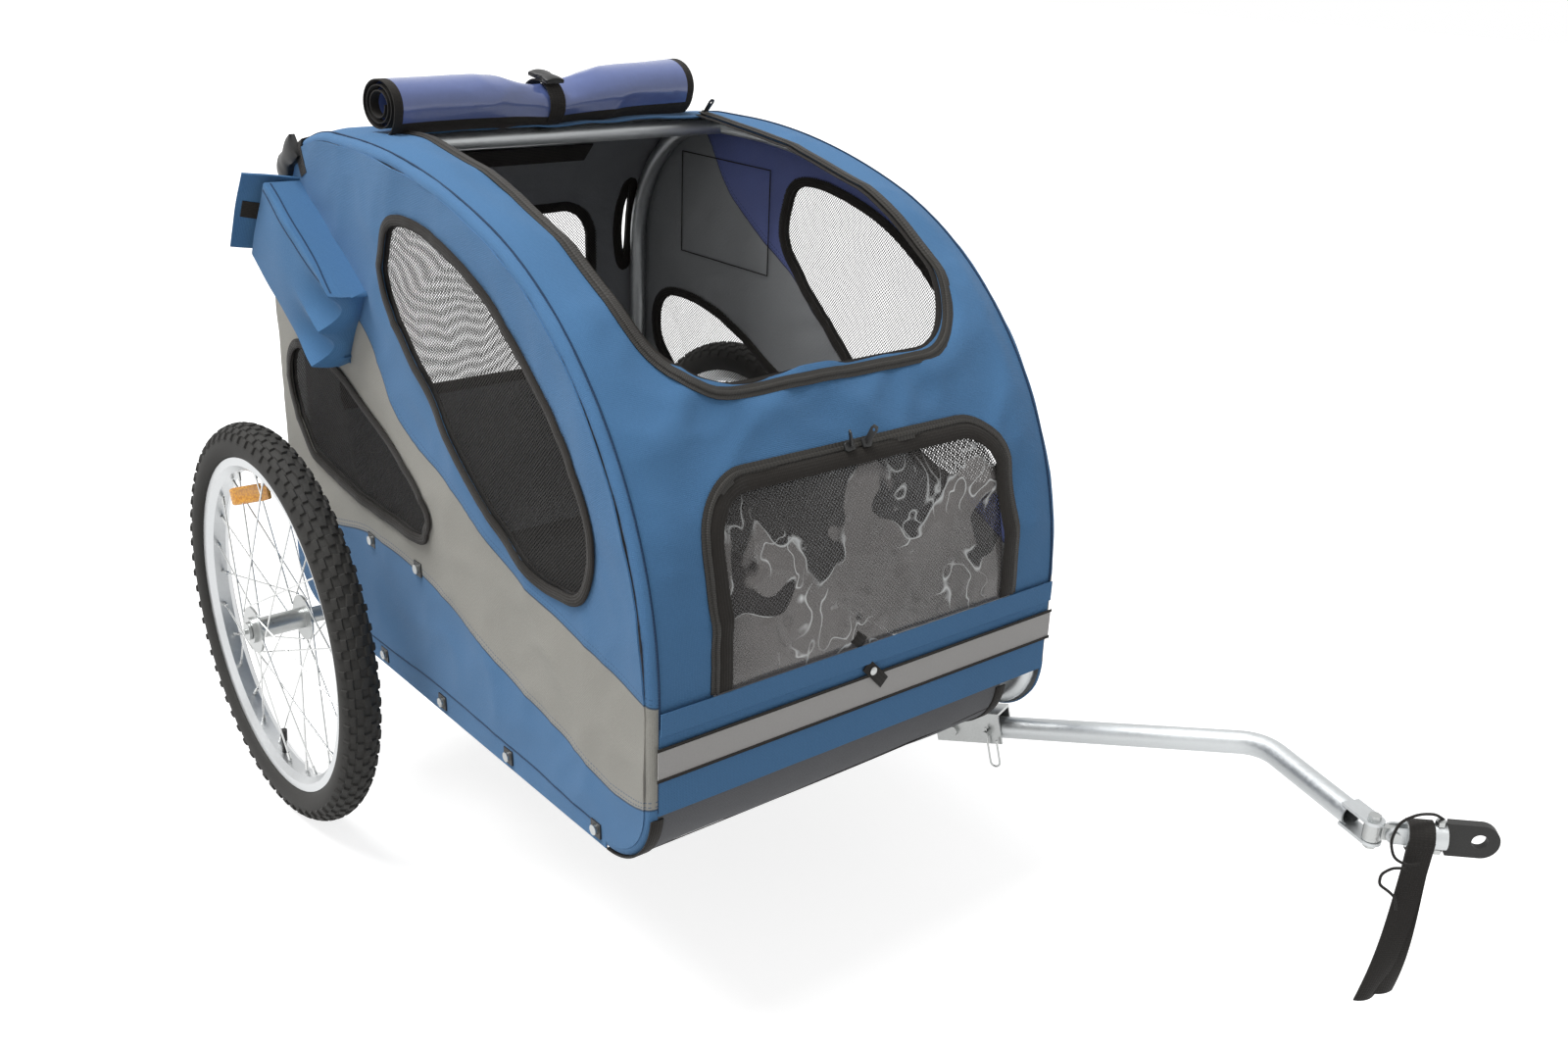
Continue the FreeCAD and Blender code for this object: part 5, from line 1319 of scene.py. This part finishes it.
# %% Amber plates
PLATE_SIZE = np.array([22, 7, 58])
for side, sign in SIDES.items():
    low, high = [np.array(corner) * 1000 - np.array([AXLE_X * 1000, 0, 0])
                 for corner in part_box(f"reflector_{side}")]
    middle = (low + high) / 2
    radial = unit(middle - np.array([0, middle[1], AXLE_Z]))
    swing = math.radians(30 * -sign)
    turned = np.cross(radial, [0, 1, 0]) * math.cos(swing) - np.array([0, 1.0, 0]) * math.sin(swing)
    plate = cube(f"amber_plate_{side}")
    edit(plate)
    bpy.ops.mesh.bevel(offset=0.12, segments=3, affect="EDGES")
    close_edit()
    edit_faces(plate, lambda face: abs(face.normal.y) > 0.9 and face.area > 0.3)
    bpy.ops.mesh.inset(thickness=0.05, depth=-0.10, use_individual=True)
    close_edit()
    axes = np.array([radial, np.cross(turned, radial), turned])
    place(plate, middle + points_of(plate) * PLATE_SIZE @ axes)
    edit(plate)
    bpy.ops.mesh.normals_make_consistent(inside=False)
    close_edit()
    complete(plate, amber, 40, f"{side}_wheel", "amber", f"reflector_{side}")

# %% [markdown]
# ## Safety strap
# A loop of ribbed webbing goes round the hitch tube, and its tail hangs down with a slow twist. It is a
# flat woven band, so it is laid out directly: a ring and two layers of tail from the same webbing.

# %% Webbing at the hitch
SWING = np.array([1092.25, 304.84, 272.3])
hitch_yaw, hitch_rise = math.radians(42), math.radians(2)
HITCH_FLAT = np.array([math.cos(hitch_yaw), math.sin(hitch_yaw), 0])
HITCH_DIR = HITCH_FLAT * math.cos(hitch_rise) + np.array([0, 0, math.sin(hitch_rise)])
HITCH_SIDE = np.array([-math.sin(hitch_yaw), math.cos(hitch_yaw), 0])
HITCH_AXES = np.array([HITCH_DIR, np.cross(HITCH_DIR, HITCH_SIDE), HITCH_SIDE])
LOOP_AT = SWING + HITCH_FLAT * 20 + HITCH_DIR * 24
ring_out = xyz(0.0, np.sin(turns), np.cos(turns)) @ HITCH_AXES
strap = [trim("strap_loop", LOOP_AT + 14.6 * ring_out, ring_out, flat_band(12, -1.2, 1.2), webbing,
              "hitch_head", "black_webbing", "safety_strap", closed=True)]


def tail_rule(u, v):
    across = 25 * (v - 0.5)
    twist = 0.55 * np.clip((u - 0.3) / 0.7, 0, 1) ** 2 * (0.3 + v)
    ahead = 4 * np.sin(math.pi * u) - 24 * u + across * np.cos(twist)
    aside = 13 * u * u + 2.5 * np.sin(6 * u) - 15.2 + across * np.sin(twist)
    return LOOP_AT + xyz(ahead, -200 * u, aside) @ HITCH_AXES


def back_rule(u, v):
    return tail_rule(u * 0.96, v) + xyz(16 * u ** 1.6, 0.0, 2.8 + 2 * u) @ HITCH_AXES


for name, rule in (("strap_tail", tail_rule), ("strap_back", back_rule)):
    tail = sewn(name, (60, 10), rule, (0.205, 0.025), [webbing], 1.6, "hitch_head", "black_webbing",
                angle=50)
    strap.append(tail)
for piece in strap:
    tuple(metres(LOOP_AT))
    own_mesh(piece)

# %% [markdown]
# ## Small trims
# Zip pulls, a tab with a press stud, two tie cords at the hitch and rows of stitches are small, but they
# tell how the cover is used. The pulls start as outlines that are pushed out and bevelled, the stud is
# turned on a lathe profile, and tapes and stitches are narrow bands along a line.

# %% Zip pulls on the roof zip and the door zip


def pulled_plate(name, outline, at, axes, wall, bevel):
    """A small flat plate from an outline in its own plane, bevelled all round; sizes in millimetres."""
    outline, axes = np.array(outline, float), np.asarray(axes)
    plate = prism(at + xyz(*outline.T, 0.0) @ axes, axes[2] * wall)
    plate.name = plate.data.name = name
    modify(plate, "BEVEL", width=bevel / 1000, segments=2, limit_method="ANGLE")
    soften(plate, 40)
    return plate


SLIDER = [(-5.5, -4.2), (3, -5.2), (6, -3.4), (6, 3.4), (3, 5.2), (-5.5, 4.2)]
PULL = [(0, -3.2), (16, -4.2), (20, -2.6), (20, 2.6), (16, 4.2), (0, 3.2)]
EYE = np.array([(15 + 1.7 * math.cos(a), 1.7 * math.sin(a), -3)
                for a in np.linspace(0, 2 * math.pi, 13)[:-1]])
ZIPS = {"roof": (BODY, run_at_roof(94), 211.0, 18.2, (-2, 0), (0.80, 0.45, 0.25)),
        "door": ("front_door", run_at_front(599), 11.0, 17.4, (0, 2), (0.60, 0.30, 0.60))}
for zip_name, side in [(zip_name, side) for zip_name in ZIPS for side in SIDES]:
    body, run, aside, grow, step, tilt = ZIPS[zip_name]
    along, across = run + np.array([0, step[0]]), SIDES[side] * (aside + np.array([0, step[1]]))
    (spot, ahead), (out, _) = (creased if zip_name == "door" else on_outline)(along, across, grow)
    ahead = unit(ahead - spot)
    beside = np.cross(out, ahead)
    slider = pulled_plate(f"{zip_name}_slider_{side}", SLIDER, spot, (ahead, beside, out), 3.6, 0.7)
    rise = beside * (1 if zip_name == "roof" else np.sign(beside[2]))
    lean = unit(out * tilt[0] + ahead * tilt[1] + rise * tilt[2])
    face = unit(np.cross(lean, beside))
    axes = np.array([lean, np.cross(face, lean), face])
    grip = pulled_plate(f"{zip_name}_pull_{side}", PULL, spot + out * 3.2, axes, 1.8, 0.5)
    carve(grip, prism(spot + out * 3.2 + EYE @ axes, face * 9))
    for piece in (slider, grip):
        complete(piece, black_plastic, None, body, "black_plastic")

# %% Tab and press stud below the door


def lathe(name, profile, at, axis, steps=28):
    """A turned piece: a profile of (radius, height) round an axis, in millimetres."""
    first = unit(np.cross(axis, [0.3, 0.9, 0.2]))
    second = np.cross(axis, first)
    profile = np.asarray(profile, float)
    count = len(profile) - 1

    def rule(u, v):
        part = np.rint(v * count).astype(int)
        turn = 2 * math.pi * u
        ring_line = np.cos(turn)[:, None] * first + np.sin(turn)[:, None] * second
        return at + ring_line * profile[part, :1] + axis * profile[part, 1:]

    piece = grid_sheet(name, (steps, count), rule, (0.02, 0.01))
    weld(piece, 0.00002)
    return piece


STUD = [(0, 0), (4.6, 0), (4.6, 0.8), (3.6, 1.7), (1.8, 2.1), (0, 2.2)]
TAB_PARTS = {"door_tab": (BODY, (379, 352), (-12, 14), 18.6),
             "door_loop": ("front_door", (416, 404), (-30, -16), 15.6)}
for name, (body, heights, sides, grow) in TAB_PARTS.items():
    bulge = 1.8 * np.sin(np.linspace(0, math.pi, 16))
    spine, out = on_outline(run_at_front(np.linspace(*heights, 16)), np.linspace(*sides, 16), grow + bulge)
    trim(name, spine, out, flat_band(7, -0.7, 0.7), webbing, body, "black_webbing")
stud = lathe("door_stud", STUD, *on_outline(run_at_front(371), -4.0, 20.8))
complete(stud, zinc, 35, BODY, "zinc")

# %% Stitches on the inside of the left wall
STITCH_BOX = np.array([(-45, 648), (150, 648), (150, 786), (-45, 786), (-45, 648)], float)
stitch_line = np.vstack([np.linspace(STITCH_BOX[at], STITCH_BOX[at + 1], 24)[:-1] for at in range(4)])
stitch_path = xyz(stitch_line[:, 0], 275.9, stitch_line[:, 1])
trim("inner_stitches", stitch_path, np.tile([0, -1.0, 0], (len(stitch_path), 1)),
     flat_band(0.7, -0.4, 0.5), binding, *DARK, closed=True, angle=None)

# %% Tie cords at the hitch
CORD_WIDE = 0.003
TIES = {"tie_loop": [(22, 17, 4), (12, 25, 0), (-6, 28, -8), (-24, 21, -14), (-31, 2, -19), (-26, -16, -21),
                     (-12, -23, -21), (0, -21, -19)],
        "tie_end": [(-14, -25, -23), (-26, -25, -24), (-36, -33, -24), (-36, -46, -23), (-26, -53, -22),
                    (-17, -62, -20), (-14, -78, -17)]}
for name, spots in TIES.items():
    places = np.linspace(0, len(spots) - 1, 6 * len(spots))
    local = xyz(*(np.interp(places, range(len(spots)), column) for column in np.array(spots, float).T))
    for _ in range(6):
        local[1:-1] = (local[:-2] + 2 * local[1:-1] + local[2:]) / 4
    line = metres(LOOP_AT + local @ HITCH_AXES)
    curve = bpy.data.curves.new(name, "CURVE")
    curve.dimensions, curve.bevel_depth = "3D", CORD_WIDE / 2
    curve.bevel_resolution = curve.resolution_u = 3
    spline = curve.splines.new("NURBS")
    spline.points.add(len(line) - 1)
    for point, spot in zip(spline.points, line):
        point.co = (*spot, 1)
    spline.order_u, spline.use_endpoint_u = 3, True
    tie_cord = bpy.data.objects.new(name, curve)
    scene.collection.objects.link(tie_cord)
    curve.materials.append(webbing)
    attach(tie_cord, "hitch_head")
    reach = float(lengths_along(line)[-1])
    print(name, round(reach, 3), "m of cord")
